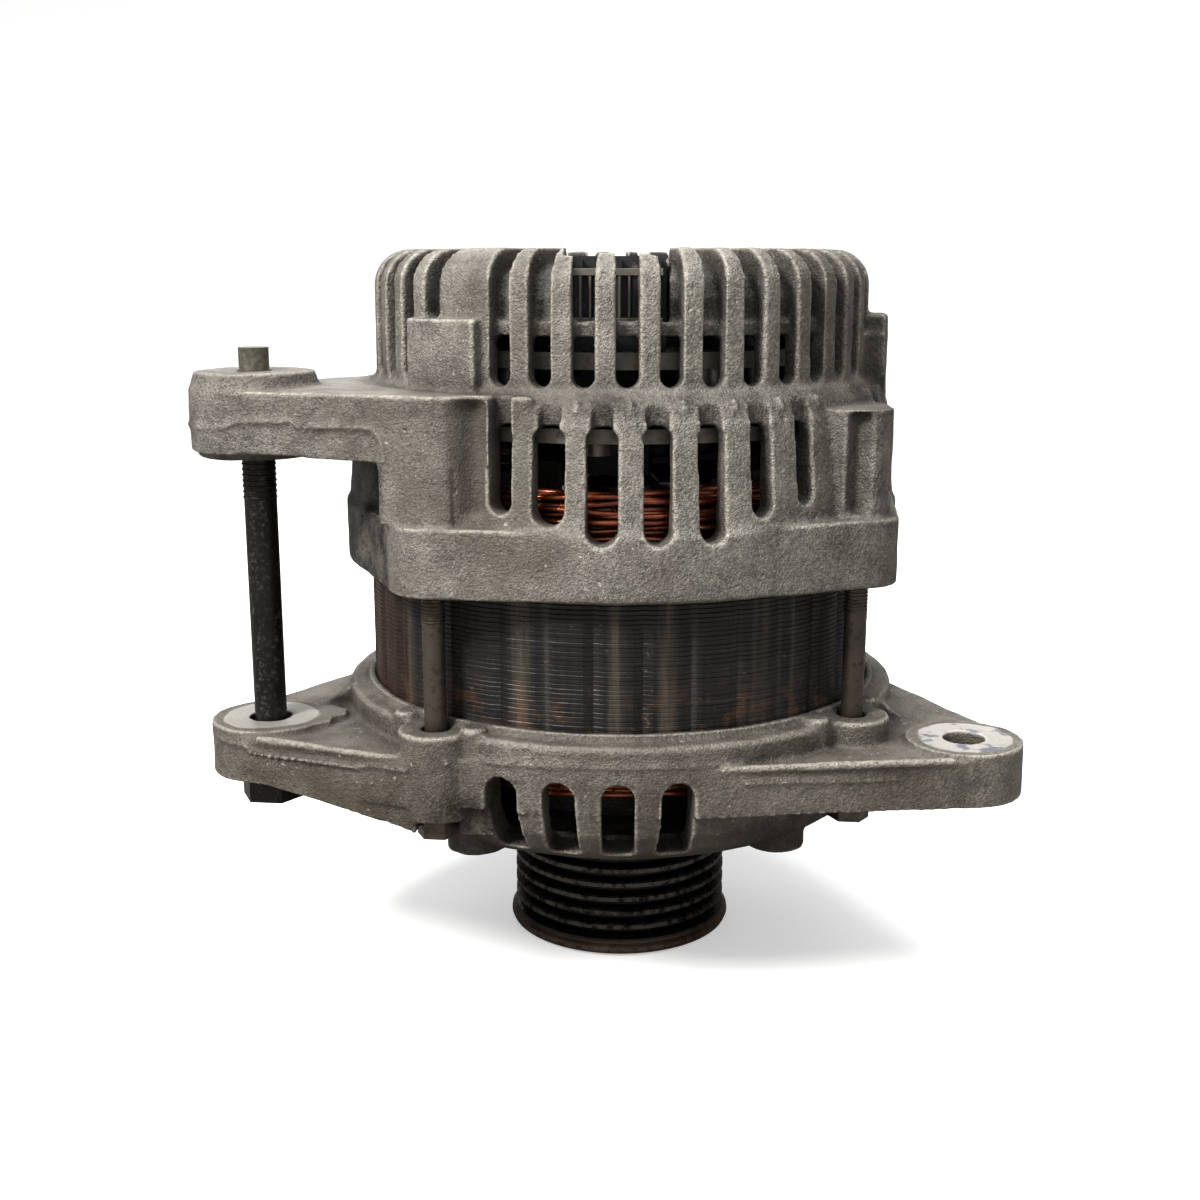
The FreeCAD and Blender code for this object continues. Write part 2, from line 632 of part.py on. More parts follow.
# ---------------------------------------------------------------- bearings
def bearing(tag, bore, inner_land, outer_land, outside, z0, z1, ball_r):
    """Races, balls, cage and seals; the radii run from the bore to the outside."""
    middle = (z0 + z1) / 2.0
    pitch_r = (inner_land + outer_land) / 2.0
    groove_r = ball_r + 0.06
    half_groove = math.sqrt(groove_r ** 2 - (pitch_r - inner_land) ** 2)
    low, high = middle - half_groove, middle + half_groove
    turned(tag + "_inner_race", [
        (bore, z0), (inner_land, z0), (inner_land, low),
        (inner_land, high, pitch_r - groove_r, middle), (inner_land, z1), (bore, z1)])
    turned(tag + "_outer_race", [
        (outer_land, z0), (outside, z0), (outside, z1), (outer_land, z1),
        (outer_land, high), (outer_land, low, pitch_r + groove_r, middle)])
    balls, pockets = [], []
    for i in range(8):
        angle = 45.0 * i + 10.0
        position = around(pitch_r, angle) + (middle,)
        balls.append(primitive("Sphere", "%s_ball%d" % (tag, i), {"Radius": ball_r}, position))
        pockets.append(cylinder(
            "%s_pocket%d" % (tag, i), ball_r + 0.15, 8.0, around(pitch_r - 4.0, angle) + (middle,),
            Rotation(Z_AXIS, Vector(*around(1.0, angle), 0))))
    keep(group(tag + "_balls", balls))
    half = min(ball_r + 1.2, (z1 - z0) / 2.0 - 1.5)
    sleeve = tube(tag + "_tube", pitch_r - 0.9, pitch_r + 0.9, middle - half, 2 * half)
    keep(cut(tag + "_cage", sleeve, group(tag + "_pockets", pockets)))
    keep(group(tag + "_seals", [
        tube("%s_seal%d" % (tag, i), inner_land + 0.12, outer_land, z, 0.8)
        for i, z in enumerate((z0 + 0.4, z1 - 1.2))]))


def bearings():
    bearing("front_bearing", bore=SHAFT_R, inner_land=13.1, outer_land=19.4,
            outside=FRONT_BEARING_R, z0=FRONT_BEARING_Z0, z1=34.0, ball_r=4.0)
    bearing("rear_bearing", bore=REAR_SHAFT_R, inner_land=10.3, outer_land=14.5,
            outside=REAR_BEARING_R, z0=REAR_BEARING_Z0, z1=139.0, ball_r=3.0)
    ring("rear_bearing_sleeve", REAR_BEARING_R, SLEEVE_R, REAR_BEARING_Z0, 139.2)


def bearing_retainer():
    top = RETAINER_Z + RETAINER_T
    body = ring("bearing_retainer", 15.5, 30.5, RETAINER_Z, top)
    pocket(body, circles(body, "retainer_hole", "XY", RETAINER_SCREWS, 2.1, offset=33), 5.0)
    screws("retainer_screws", RETAINER_SCREWS, head=(3.4, 1.9, top), shank=(1.95, 9.0, 27.3))


# ---------------------------------------------------------------- rotor
ROTOR_Z = 66.5  # plane about which the two claws mirror each other


def rotor_shaft():
    body = turned("rotor_shaft", [
        (0, -13.2), (7.3, -13.2), (8.0, -12.5), (8.0, -2.5), (SHAFT_R, -2.2), (SHAFT_R, 34.0),
        (11, 34.0), (11, 36.6), (CLAW_SEAT_R, 36.6), (CLAW_SEAT_R, 97), (REAR_SHAFT_R, 99),
        (REAR_SHAFT_R, 138.6), (7.0, 139.2), (0, 139.2)])
    # hexagon socket in the front end
    corners = [(4 * math.cos(math.radians(60 * k)), 4 * math.sin(math.radians(60 * k)))
               for k in range(6)]
    pocket(body, outline(body, "shaft_socket", "XY", corners, offset=-14), 9.0)


def pole_claw(name, mirrored, gap_angle):
    """Turned blank, (radius, z), with six tapering gaps, (across, z), between the claws."""
    blank = [(CLAW_SEAT_R, 43), (43.6, 43), (45.6, 45), (45.6, 88), (42.8, 88), (37.6, 54.5),
             (22, 54.5), (22, ROTOR_Z), (CLAW_SEAT_R, ROTOR_Z)]
    gap = [(-8.9, 42), (8.9, 42), (8.9, 53), (18.4, 89), (-18.4, 89), (-8.9, 53)]
    if mirrored:
        blank = [(u, 2 * ROTOR_Z - z) for u, z in blank]
        gap = [(u, 2 * ROTOR_Z - z) for u, z in gap]
    body = turned(name, blank)
    sketch = outline(body, name + "_gap", "XZ", gap, angle=gap_angle, offset=34)
    polar(body, name + "_gaps", [pocket(body, sketch, 15.0)], 6)


def field_winding():
    turned("coil_bobbin", [
        (22.1, 54.7), (35.2, 54.7), (35.2, 55.9), (23.6, 55.9),
        (23.6, 77.1), (35.2, 77.1), (35.2, 78.3), (22.1, 78.3)])
    turned("field_coil", [
        (23.7, 56.0), (34.4, 56.0), (36.2, 59.5), (36.2, 73.5), (34.4, 77.0), (23.7, 77.0)])


def fan(name, plate_z, rearward, blade_r):
    """Plate with eleven curved blades that start at blade_r and stand rearward or forward."""
    overlap = 0.5  # of blade and plate
    plate_top = plate_z + 1.5
    body = ring(name, 12, 43, plate_z, plate_top)
    blade = [(blade_r, -0.8), (blade_r + 5, 0.6), (38, 3.2), (43, 6.6),
             (42.3, 8.0), (37.2, 4.7), (blade_r + 5, 2.1), (blade_r, 0.8)]
    root = plate_top - overlap
    if not rearward:
        blade = [(u, -v) for u, v in blade]
        root = plate_z + overlap
    sketch = outline(body, name + "_blade", "XY", blade, offset=root)
    polar(body, name + "_blades", [pad(body, sketch, 9.0, back=not rearward)], 11)


def rotor():
    rotor_shaft()
    pole_claw("pole_claw_front", mirrored=False, gap_angle=30)
    pole_claw("pole_claw_rear", mirrored=True, gap_angle=0)
    field_winding()
    fan("front_fan", plate_z=41.5, rearward=False, blade_r=32.0)
    fan("rear_fan", plate_z=90.0, rearward=True, blade_r=27.0)
    ring("slip_ring_hub", REAR_SHAFT_R, RING_BORE_R, 101.0, 124.0)
    keep(group("slip_rings", [
        tube("slip_ring%d" % i, RING_BORE_R, RING_R, z - RING_WIDTH / 2, RING_WIDTH)
        for i, z in enumerate(RING_CENTRES)]))


# ---------------------------------------------------------------- pulley
def pulley():
    """Pulley with six V grooves, and the spacer, washer and nut on its axis."""
    crest_r, root_r = 26.3, 23.7
    crest_half, root_half = 1.28, 0.42  # half widths of a groove
    front, rear = -3, 13  # faces of the hub
    points = [(SHAFT_R, front), (19, front), (20.5, -5), (21.6, -14), (25.8, -14),
              (27.1, -13.5), (27.5, -12.6), (27.4, -11.7), (26.5, -11.2)]
    for i in range(6):
        z = (i - 2.5) * BELT_PITCH
        points += [(crest_r, z - crest_half), (root_r, z - root_half),
                   (root_r, z + root_half), (crest_r, z + crest_half)]
    points += [(crest_r, 11.6), (25.4, rear), (SHAFT_R, rear)]
    turned("pulley", points)
    ring("pulley_spacer", SHAFT_R, 11.6, rear, FRONT_BEARING_Z0)
    ring("pulley_washer", 8.1, 14.5, -5.2, front)
    keep(cut("pulley_nut", hexagon("nut_hexagon", 22.0, 7.6, (0, 0, -12.8)),
             cylinder("nut_bore", 8.0, 12.0, (0, 0, -14.0))))


# ---------------------------------------------------------------- rectifier
SCREW_HOLE_R = 2.15
POSITIVE_Z, POSITIVE_T = 127, 3.5


def heat_sinks():
    body = ring("negative_heat_sink", 32, 57.2, NEGATIVE_Z, NEGATIVE_Z + NEGATIVE_T)
    centres = NEGATIVE_DIODES + TIES + POSTS + LEADS
    radii = [DIODE_R] * 6 + [SCREW_HOLE_R] * 6 + [1.7] * 3
    pocket(body, circles(body, "negative_hole", "XY", centres, radii, offset=111), 6.0)

    body = ring("positive_heat_sink", 31, 51, POSITIVE_Z, POSITIVE_Z + POSITIVE_T)
    # lug at the back, crossed by the terminal stud
    pad(body, outline(body, "positive_lug", "XY", rect(-9, 42.5, 9, 50), offset=122.6), 10.2)
    radii = [DIODE_R] * 6 + [SCREW_HOLE_R] * 3
    sketch = circles(body, "positive_hole", "XY", POSITIVE_DIODES + TIES, radii, offset=121)
    pocket(body, sketch, 14.0)
    sketch = circles(body, "positive_stud", "XZ", [(0, TERMINAL_Z)], 3.95, TERMINAL_ANGLE, 44)
    pocket(body, sketch, 12.0)


def rectifier():
    heat_sinks()
    pins("negative_diodes", NEGATIVE_DIODES, DIODE_R, 6.7, NEGATIVE_Z)
    pins("positive_diodes", POSITIVE_DIODES, DIODE_R, 8.3, 122.2)
    body = ring("diode_terminal_block", 32.5, 51, 119.5, 121.9)
    radii = [SCREW_HOLE_R] * 3 + [4.7] * 3
    pocket(body, circles(body, "terminal_hole", "XY", TIES + POSTS, radii, offset=118), 6.0)
    screws("rectifier_screws", TIES,
           head=(3.6, 2.4, POSITIVE_Z + POSITIVE_T), shank=(2.0, 21.0, 110.0))
    screws("heat_sink_screws", POSTS, head=(3.8, 2.6, 109.9), shank=(2.0, 8.5, 112.0))


def slip_ring_shroud():
    """Ribbed tube round the slip rings, open where the brush holder stands."""
    body = turned("slip_ring_shroud", [
        (25.0, 104.8), (28.5, 104.8), (28.5, 106.2), (26.2, 106.6), (26.2, 126.6), (25.0, 126.6)])
    sketch = outline(body, "shroud_rib", "XY", rect(25.6, -0.6, 27.8, 0.6), offset=105.5)
    polar(body, "shroud_ribs", [pad(body, sketch, 19.5)], 24)
    pocket(body, outline(body, "shroud_gap", "XZ", rect(-9.8, 103, 9.8, 128), offset=15), 20.0)


# ---------------------------------------------------------------- terminal at the back
def terminal():
    """Stud along +Y with its insulator and nut."""
    backward = Rotation(Vector(1, 0, 0), -90)

    def round_part(name, radius, length, y):
        return cylinder(name, radius, length, (0, y, TERMINAL_Z), backward)

    keep(fuse("b_plus_stud", [round_part("stud_root", 3.9, 23.5, 44.5),
                              round_part("stud_end", 3.5, 10.5, 67.0)]))
    insulator = fuse("insulator_body", [round_part("insulator_bush", 8.0, 7.3, 51.3),
                                        round_part("insulator_flange", 11.0, 2.6, 58.5)])
    keep(cut("b_plus_insulator", insulator, round_part("insulator_bore", 4.0, 14.0, 49)))
    nut = fuse("terminal_nut_body", [
        hexagon("terminal_nut_hexagon", 13.0, 5.6, (0, 62.1, TERMINAL_Z), backward),
        round_part("terminal_nut_flange", 8.4, 1.3, 61.1)])
    keep(cut("b_plus_nut", nut, round_part("terminal_nut_bore", 3.95, 12.0, 59)))


# ---------------------------------------------------------------- regulator and socket
def voltage_regulator():
    body = keep(new_body("voltage_regulator"))
    case = [(-10, 130.6), (10, 130.6), (10, 148.6), (8.8, 149.8), (-8.8, 149.8), (-10, 148.6)]
    sketch = outline(body, "regulator_case", "XZ", case, angle=REGULATOR_ANGLE, offset=30)
    pad(body, sketch, 16.5)
    for i in range(5):
        rib = rect(-8.9 + 4 * i, 137, -7.1 + 4 * i, 149)
        name = "regulator_rib%d" % i
        pad(body, outline(body, name, "XZ", rib, angle=REGULATOR_ANGLE, offset=46), 2.4)


def connector_socket():
    """Socket shell with three rounded corners and one cut straight, and the pins inside."""
    floor = 57.5  # of the cavity, from the axis
    body = keep(new_body("connector_socket"))
    shell = [(-9, 120.6), (9, 120.6), (13, 124.6, 11.83, 121.77), (13, 132.4),
             (9, 136.4, 11.83, 135.23), (-9, 136.4), (-13, 132.4, -11.83, 135.23), (-13, 124.6)]
    cavity = [(-9, 122.6), (9, 122.6), (11, 124.6), (11, 132.4),
              (9, 134.4), (-9, 134.4), (-11, 132.4), (-11, 124.6)]
    pad(body, outline(body, "socket_shell", "XZ", shell, SOCKET_ANGLE, 51.6), 20.0)
    pocket(body, outline(body, "socket_cavity", "XZ", cavity, SOCKET_ANGLE, floor), 20.0)

    width, length, height = 2.2, 9.5, 0.8
    turn = math.radians(SOCKET_ANGLE)
    tip_x, tip_y = around(floor + length, SOCKET_ANGLE)
    blades = []
    for i, across in enumerate((-6.5, 0.0, 6.5)):
        side = across - width / 2
        corner = (tip_x + side * math.cos(turn), tip_y + side * math.sin(turn), 128.1)
        blades.append(block("pin%d" % i, (width, length, height), corner,
                            Rotation(Z_AXIS, SOCKET_ANGLE)))
    keep(group("connector_pins", blades))


# ---------------------------------------------------------------- brush gear
def brush_holder():
    case = fuse("holder_case", [block("holder_box", (18, 19.4, 21.6), (-9, -30, 102.6)),
                                block("holder_stalk", (12, 5.2, 7.0), (-6, -30, 123.6))])
    channels = [block("holder_channel%d" % i, (6.2, 18.0, 5.2), (-3.1, -28.2, z - 2.6))
                for i, z in enumerate(RING_CENTRES)]
    keep(cut("brush_holder", case, group("holder_channels", channels)))


def brush(number, z):
    """Brush hollowed to its slip ring, and the spring in front of it."""
    blank = block("brush_bar%d" % number, (6.0, 13.0, 5.0), (-3.0, -21.2, z - 2.5))
    hollow = cylinder("brush_hollow%d" % number, RING_R + 0.05, 20.0, (0, 0, z - 10))
    keep(cut("brush_%d" % number, blank, hollow))
    spring = keep(new_body("brush_spring_%d" % number))
    wire = circles(spring, "spring_wire%d" % number, "XZ", [(1.7, 0.3)], 0.26)
    helix = spring.newObject("PartDesign::AdditiveHelix", "spring_coil%d" % number)
    helix.Profile = wire
    helix.ReferenceAxis = (wire, ["V_Axis"])
    helix.Mode = 0  # pitch and height
    bind(helix, "Pitch", 1.3, "spring_pitch%d" % number)
    bind(helix, "Height", 5.85, "spring_height%d" % number)
    spring.Tip = helix
    spring.Placement = Placement(Vector(0, -21.4, z), Rotation(Vector(1, 0, 0), 90))


# ---------------------------------------------------------------- build, check and write
for build in (
        drive_end_frame, rear_frame, stator_core, stator_winding, slot_liners, phase_leads,
        through_bolts, pivot_bolt, bearings, bearing_retainer, rotor, pulley, rectifier,
        slip_ring_shroud, terminal, voltage_regulator, connector_socket, brush_holder):
    build()
for index, ring_z in enumerate(RING_CENTRES):
    brush(index + 1, ring_z)

doc.recompute()
bad = [(o.Label, o.State) for o in doc.Objects if "Invalid" in o.State or "Error" in o.State]
if bad:
    raise SystemExit("failed objects: %s" % bad)
for piece in results:
    shape = piece.Shape
    if shape.isNull() or not shape.isValid() or not shape.Solids or shape.Volume <= 0:
        raise SystemExit("bad shape: %s" % piece.Label)
for piece in results:
    piece.Shape.exportStep("parts/%s.step" % piece.Label)
print("wrote", len(results), "parts")
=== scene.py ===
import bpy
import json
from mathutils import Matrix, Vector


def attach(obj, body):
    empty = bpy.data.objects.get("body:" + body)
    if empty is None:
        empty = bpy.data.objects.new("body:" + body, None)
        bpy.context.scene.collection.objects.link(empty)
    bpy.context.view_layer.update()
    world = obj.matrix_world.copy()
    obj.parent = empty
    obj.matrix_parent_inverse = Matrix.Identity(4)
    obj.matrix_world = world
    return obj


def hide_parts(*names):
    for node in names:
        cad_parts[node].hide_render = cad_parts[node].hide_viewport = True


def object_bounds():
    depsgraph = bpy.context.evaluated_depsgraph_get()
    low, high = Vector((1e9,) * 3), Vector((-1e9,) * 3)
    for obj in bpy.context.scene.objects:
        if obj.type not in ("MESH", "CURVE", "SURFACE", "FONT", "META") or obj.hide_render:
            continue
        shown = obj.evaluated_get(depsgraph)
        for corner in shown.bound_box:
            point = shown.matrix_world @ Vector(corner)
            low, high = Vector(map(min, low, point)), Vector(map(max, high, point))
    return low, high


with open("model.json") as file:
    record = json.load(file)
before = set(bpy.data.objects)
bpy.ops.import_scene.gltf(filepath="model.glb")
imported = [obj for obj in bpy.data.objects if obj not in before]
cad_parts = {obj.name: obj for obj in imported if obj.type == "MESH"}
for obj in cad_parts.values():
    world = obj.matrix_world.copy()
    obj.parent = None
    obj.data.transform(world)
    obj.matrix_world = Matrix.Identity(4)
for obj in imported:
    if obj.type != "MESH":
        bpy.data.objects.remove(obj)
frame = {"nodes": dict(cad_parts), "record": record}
CAD_BOX = [[float(c) for c in corner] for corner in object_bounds()]

import json
import math
import random

import bmesh
import bpy
from mathutils import Vector, noise

MM = 0.001
nodes = frame["nodes"]

PIVOT_BOLT = (-77.5, -36.35)      # x, y of the bolt through the left ears
THROUGH_BOLT_RADIUS = 65.0        # from the shaft to each of four through bolts
THROUGH_BOLT_ANGLES = [-32.2 + 90.0 * k for k in range(4)]
VOXEL = 0.58 * 1.0     # remesh cell of both castings
CORE_BOTTOM, CORE_TOP = 49.5, 83.5         # height range of the laminated core


# ---------------------------------------------------------------- shader graph helpers
class Field:
    """A shader socket with arithmetic; each operation adds one node."""

    def __init__(self, graph, socket):
        self.graph = graph
        self.socket = socket

    def __add__(self, other):
        return self.graph.math("ADD", self, other)

    def __sub__(self, other):
        return self.graph.math("SUBTRACT", self, other)

    def __rsub__(self, other):
        return self.graph.math("SUBTRACT", other, self)

    def __mul__(self, other):
        return self.graph.math("MULTIPLY", self, other)

    def fade(self, over, to=(0.0, 1.0)):
        """Smoothstep from to[0] to to[1] while this value runs over the given range."""
        return self.graph.field("Result", "MapRange", {
            "Value": self, "From Min": over[0], "From Max": over[1],
            "To Min": to[0], "To Max": to[1]}, interpolation_type="SMOOTHSTEP")


class Graph:
    def __init__(self, tree):
        self.tree = tree

    def plug(self, node, inputs):
        """Link fields, and set numbers and RGB colours, on the named or numbered inputs."""
        for key, value in inputs.items():
            if isinstance(value, Field):
                self.tree.links.new(value.socket, node.inputs[key])
            elif isinstance(value, tuple):
                node.inputs[key].default_value = (*value, 1.0)
            else:
                node.inputs[key].default_value = value

    def add(self, kind, inputs=None, **settings):
        node = self.tree.nodes.new("ShaderNode" + kind)
        for key, value in settings.items():
            setattr(node, key, value)
        self.plug(node, inputs or {})
        return node

    def field(self, output, kind, inputs=None, **settings):
        return Field(self, self.add(kind, inputs, **settings).outputs[output])

    def math(self, operation, first, second=0.0, third=None):
        inputs = {0: first, 1: second}
        if third is not None:
            inputs[2] = third
        return self.field(0, "Math", inputs, operation=operation)

    def length(self, x, y):
        return self.math("SQRT", x * x + y * y)

    def mix(self, amount, color, other):
        return self.field(2, "Mix", {0: amount, 6: color, 7: other}, data_type="RGBA")

    def ramp(self, value, stops):
        """Colour ramp; stops are (position, colour)."""
        node = self.add("ValToRGB", {0: value})
        elements = node.color_ramp.elements
        while len(elements) > 1:
            elements.remove(elements[-1])
        for i, (position, color) in enumerate(stops):
            stop = elements[0] if i == 0 else elements.new(position)
            stop.position = position
            stop.color = (*color, 1.0)
        return Field(self, node.outputs[0])

    def split(self, vector):
        return [Field(self, out) for out in self.add("SeparateXYZ", {0: vector}).outputs]

    def join(self, x, y, z):
        return self.field(0, "CombineXYZ", {0: x, 1: y, 2: z})


class Material(Graph):
    """A Principled material whose base colour is built up in painted layers."""

    def __init__(self, name):
        self.material = bpy.data.materials.new(name)
        self.material.use_nodes = True
        super().__init__(self.material.node_tree)
        self.tree.nodes.clear()
        self.output = self.add("OutputMaterial")
        self.shader = self.add("BsdfPrincipled")
        self.tree.links.new(self.shader.outputs[0], self.output.inputs[0])
        coordinates = self.add("TexCoord")
        self.place = Field(self, coordinates.outputs["Object"])
        self.normal = Field(self, coordinates.outputs["Normal"])

    def noise(self, scale, detail, rough, at=None):
        return self.field("Fac", "TexNoise", {
            "Vector": at or self.place, "Scale": scale, "Detail": detail, "Roughness": rough})

    def pointiness(self):
        return self.field("Pointiness", "NewGeometry")

    def openness(self, distance):
        return self.field("AO", "AmbientOcclusion", {"Distance": distance}, samples=2)

    def bump(self, height, strength, distance):
        return self.field(0, "Bump", {
            "Strength": strength, "Distance": distance, "Height": height})

    def paint(self, color, where):
        self.base = self.mix(where, self.base, color)

    def finish(self, inputs):
        self.plug(self.shader, {"Base Color": self.base, **inputs})
        return self.material


# ---------------------------------------------------------------- casting materials
def sand_cast(name, tone, warm, seed, grime, specks, zones, washers=()):
    """Rough sand-coloured casting.

    tone and warm: brightness and tint; seed: shift of the patterns along x;
    grime, specks: strength of the dark patches and dark dots; zones: function giving
    areas of painted shade and dirt; washers: rows like WASHER_FACES.
    """
    m = Material(name)
    x, y, z = m.split(m.place)
    facing_up = m.split(m.normal)[2]
    spot = m.join(x + seed, y, z)
    patch = m.noise(scale=24, detail=4, rough=0.62, at=spot).fade(over=(0.44, 0.70))
    mid = m.noise(scale=130, detail=4, rough=0.66, at=spot)
    fine = m.noise(scale=1250, detail=4, rough=0.75, at=spot)
    sand = m.noise(scale=3300, detail=2, rough=0.7, at=spot)
    cells = m.field("Distance", "TexVoronoi", {"Vector": spot, "Scale": 1900})
    grit = fine * 0.6 + sand * 0.4

    def shade(value):
        return tuple(value * tone * channel for channel in warm)

    m.base = m.ramp(mid, [(0.30, shade(0.115)), (0.5, shade(0.20)), (0.70, shade(0.28))])
    m.paint(shade(0.40), where=grit.fade(over=(0.48, 0.62), to=(0.0, 0.62)))
    m.paint(shade(0.065), where=grit.fade(over=(0.50, 0.38), to=(0.0, 0.62)))
    m.paint((0.085 * tone, 0.068 * tone, 0.050 * tone), where=patch * grime)
    # upright run-off streaks
    streak = m.noise(scale=1.0, detail=3, rough=0.62, at=m.join(x * 160.0, y * 160.0, z * 22.0))
    m.paint((0.062, 0.050, 0.038), where=streak.fade(over=(0.54, 0.74), to=(0.0, 0.42)))
    # pale edges: wear and painted highlight; then faces that look up painted lighter: painted
    # highlight from above
    point = m.pointiness()
    edge = point.fade(over=(0.510, 0.560)) * fine.fade(over=(0.30, 0.55))
    m.paint((0.60, 0.56, 0.48), where=edge * 0.75)
    # painted highlight: faces that look up are lightened in patches
    wear_and_sheen = facing_up.fade(over=(0.35, 0.9)) * mid.fade(over=(0.35, 0.6), to=(0.35, 1.0))
    m.paint((0.36, 0.335, 0.29), where=wear_and_sheen * 0.22)
    # painted shade: darker undersides, hollows and creases
    m.paint((0.045, 0.036, 0.028), where=facing_up.fade(over=(-0.2, -0.8)) * 0.6)
    crease = point.fade(over=(0.492, 0.450)) * 0.75
    # painted shade in hollows from ambient occlusion, and in creases
    hollow = m.math("MAXIMUM", m.openness(distance=0.008).fade(over=(0.85, 0.35)), crease)
    breakup = m.noise(scale=75, detail=3, rough=0.65, at=spot)
    hollow = hollow * breakup.fade(over=(0.25, 0.60), to=(0.50, 1.0))
    m.paint((0.022, 0.017, 0.013), where=hollow * 0.86)
    dots = m.noise(scale=520, detail=3, rough=0.6, at=spot).fade(over=(0.64, 0.72))
    m.paint((0.050, 0.038, 0.028), where=dots * specks)
    pale = m.noise(scale=760, detail=2, rough=0.5, at=spot).fade(over=(0.70, 0.76))
    m.paint((0.62, 0.58, 0.50), where=pale * 0.55)
    for mask, amount, tint in zones(m, x, y, z):
        ragged = (mid * 0.5 + grit * 0.5).fade(over=(0.38, 0.58), to=(1.0, 0.45))
        m.paint(tint, where=mask * amount * ragged)

    height = fine * 1.0 + cells * 0.45 + sand * 0.5 + mid * 1.4
    pits = m.noise(scale=300, detail=2, rough=0.5, at=spot).fade(over=(0.68, 0.75))
    height = height - pits * 0.9

    machined = None
    for center_x, center_y, top, radius, shine, blued in washers:
        away = m.length(x - center_x, y - center_y)
        wobble = m.noise(scale=90, detail=3, rough=0.6, at=spot) - 0.5
        face = (away + wobble * 0.004).fade(over=(radius, radius - 0.0008))
        face = face * z.fade(over=(top - 0.0012, top - 0.0003))
        face = face * facing_up.fade(over=(0.6, 0.9))
        machined = face if machined is None else m.math("MAXIMUM", machined, face)
        rings = m.noise(scale=1.0, detail=3, rough=0.6, at=m.join(away * 2600.0, 0.0, 0.0))
        turned = m.ramp(rings, [(0.3, (0.46, 0.44, 0.40)), (0.7, (0.66, 0.64, 0.60))])
        m.paint(turned, where=face * shine)
        if blued:
            stain = m.noise(scale=150, detail=4, rough=0.6, at=m.join(x + (seed + 2.0), y, z))
            stain = stain.fade(over=(0.52, 0.62), to=(0.0, 0.75))
            m.paint((0.085, 0.10, 0.17), where=face * stain)
    if machined is not None:
        height = height * (1.0 - machined * 0.8)
    return m.finish({
        "Metallic": 0.42,
        "Roughness": (fine + patch * 0.25).fade(over=(0.3, 0.9), to=(0.44, 0.70)),
        "Normal": m.bump(height, strength=0.72, distance=0.00050)})


# Machined washer faces of the drive-end frame, looking up, in metres:
# x, y, z, radius, strength of the bright rings, stained blue or not
WASHER_FACES = (
    (PIVOT_BOLT[0] * MM, PIVOT_BOLT[1] * MM, 0.0465, 0.0112, 0.55, False),
    (0.0795, PIVOT_BOLT[1] * MM, 0.0465, 0.0108, 0.80, True),
)


def rear_zones(m, x, y, z):
    """Painted shade and dirt on the rear frame, as (mask, amount, colour); positions in metres."""
    dark, dust_and_shade = (0.020, 0.016, 0.012), (0.050, 0.043, 0.034)
    radius = m.length(x, y)
    ribs_height = z.fade(over=(0.110, 0.114)) * z.fade(over=(0.1235, 0.1215))
    between_ribs = radius.fade(over=(0.0624, 0.0612)) * ribs_height
    fins = radius.fade(over=(0.0566, 0.0545)) * z.fade(over=(0.131, 0.134))
    fins = fins * z.fade(over=(0.1500, 0.1478))
    left_flank = x.fade(over=(-0.0432, -0.0445)) * z.fade(over=(0.1085, 0.1070))
    left_flank = left_flank * y.fade(over=(0.010, -0.022))
    right_side = x.fade(over=(0.022, 0.060))
    left_arm = x.fade(over=(-0.0440, -0.0500)) * z.fade(over=(0.1075, 0.1090))
    shoulder = z.fade(over=(0.1165, 0.1185)) * z.fade(over=(0.1270, 0.1240))
    shoulder = shoulder * x.fade(over=(-0.0430, -0.0390))
    crown = z.fade(over=(0.1440, 0.1530))
    # painted shade between the ribs, between the fins, on the left arm and on the right side;
    # painted shadow with dirt on the left flank; darker bands over the shoulder and the crown
    return [
        (left_arm, 0.34, dust_and_shade), (shoulder, 0.42, dust_and_shade), (crown, 0.30, dust_and_shade),
        (between_ribs, 0.80, dark), (fins, 0.62, dark),
        (left_flank, 1.05, (0.010, 0.007, 0.005)), (right_side, 0.62, dust_and_shade)]


def front_zones(m, x, y, z):
    """Painted shade and dirt on the drive-end frame, as (mask, amount, colour); positions in metres.
    """
    dark = (0.020, 0.015, 0.010)
    left_range = x.fade(over=(-0.014, -0.022)) * x.fade(over=(-0.046, -0.036))
    left = z.fade(over=(0.0425, 0.0350)) * left_range
    right = z.fade(over=(0.0340, 0.0300)) * x.fade(over=(0.022, 0.036))
    web = z.fade(over=(0.0425, 0.0370)) * x.fade(over=(-0.034, -0.044))
    under = z.fade(over=(0.0265, 0.0205))
    lip = z.fade(over=(0.0310, 0.0265)) * x.fade(over=(-0.040, -0.020))
    # painted shade beside the bowl's slots (left, right) and under the bowl (under); brown dirt on
    # the web and the lip
    return [
        (left, 0.95, dark), (right, 0.95, dark), (web, 0.55, (0.055, 0.036, 0.022)),
        (under, 0.85, dark), (lip, 0.30, (0.045, 0.032, 0.022))]


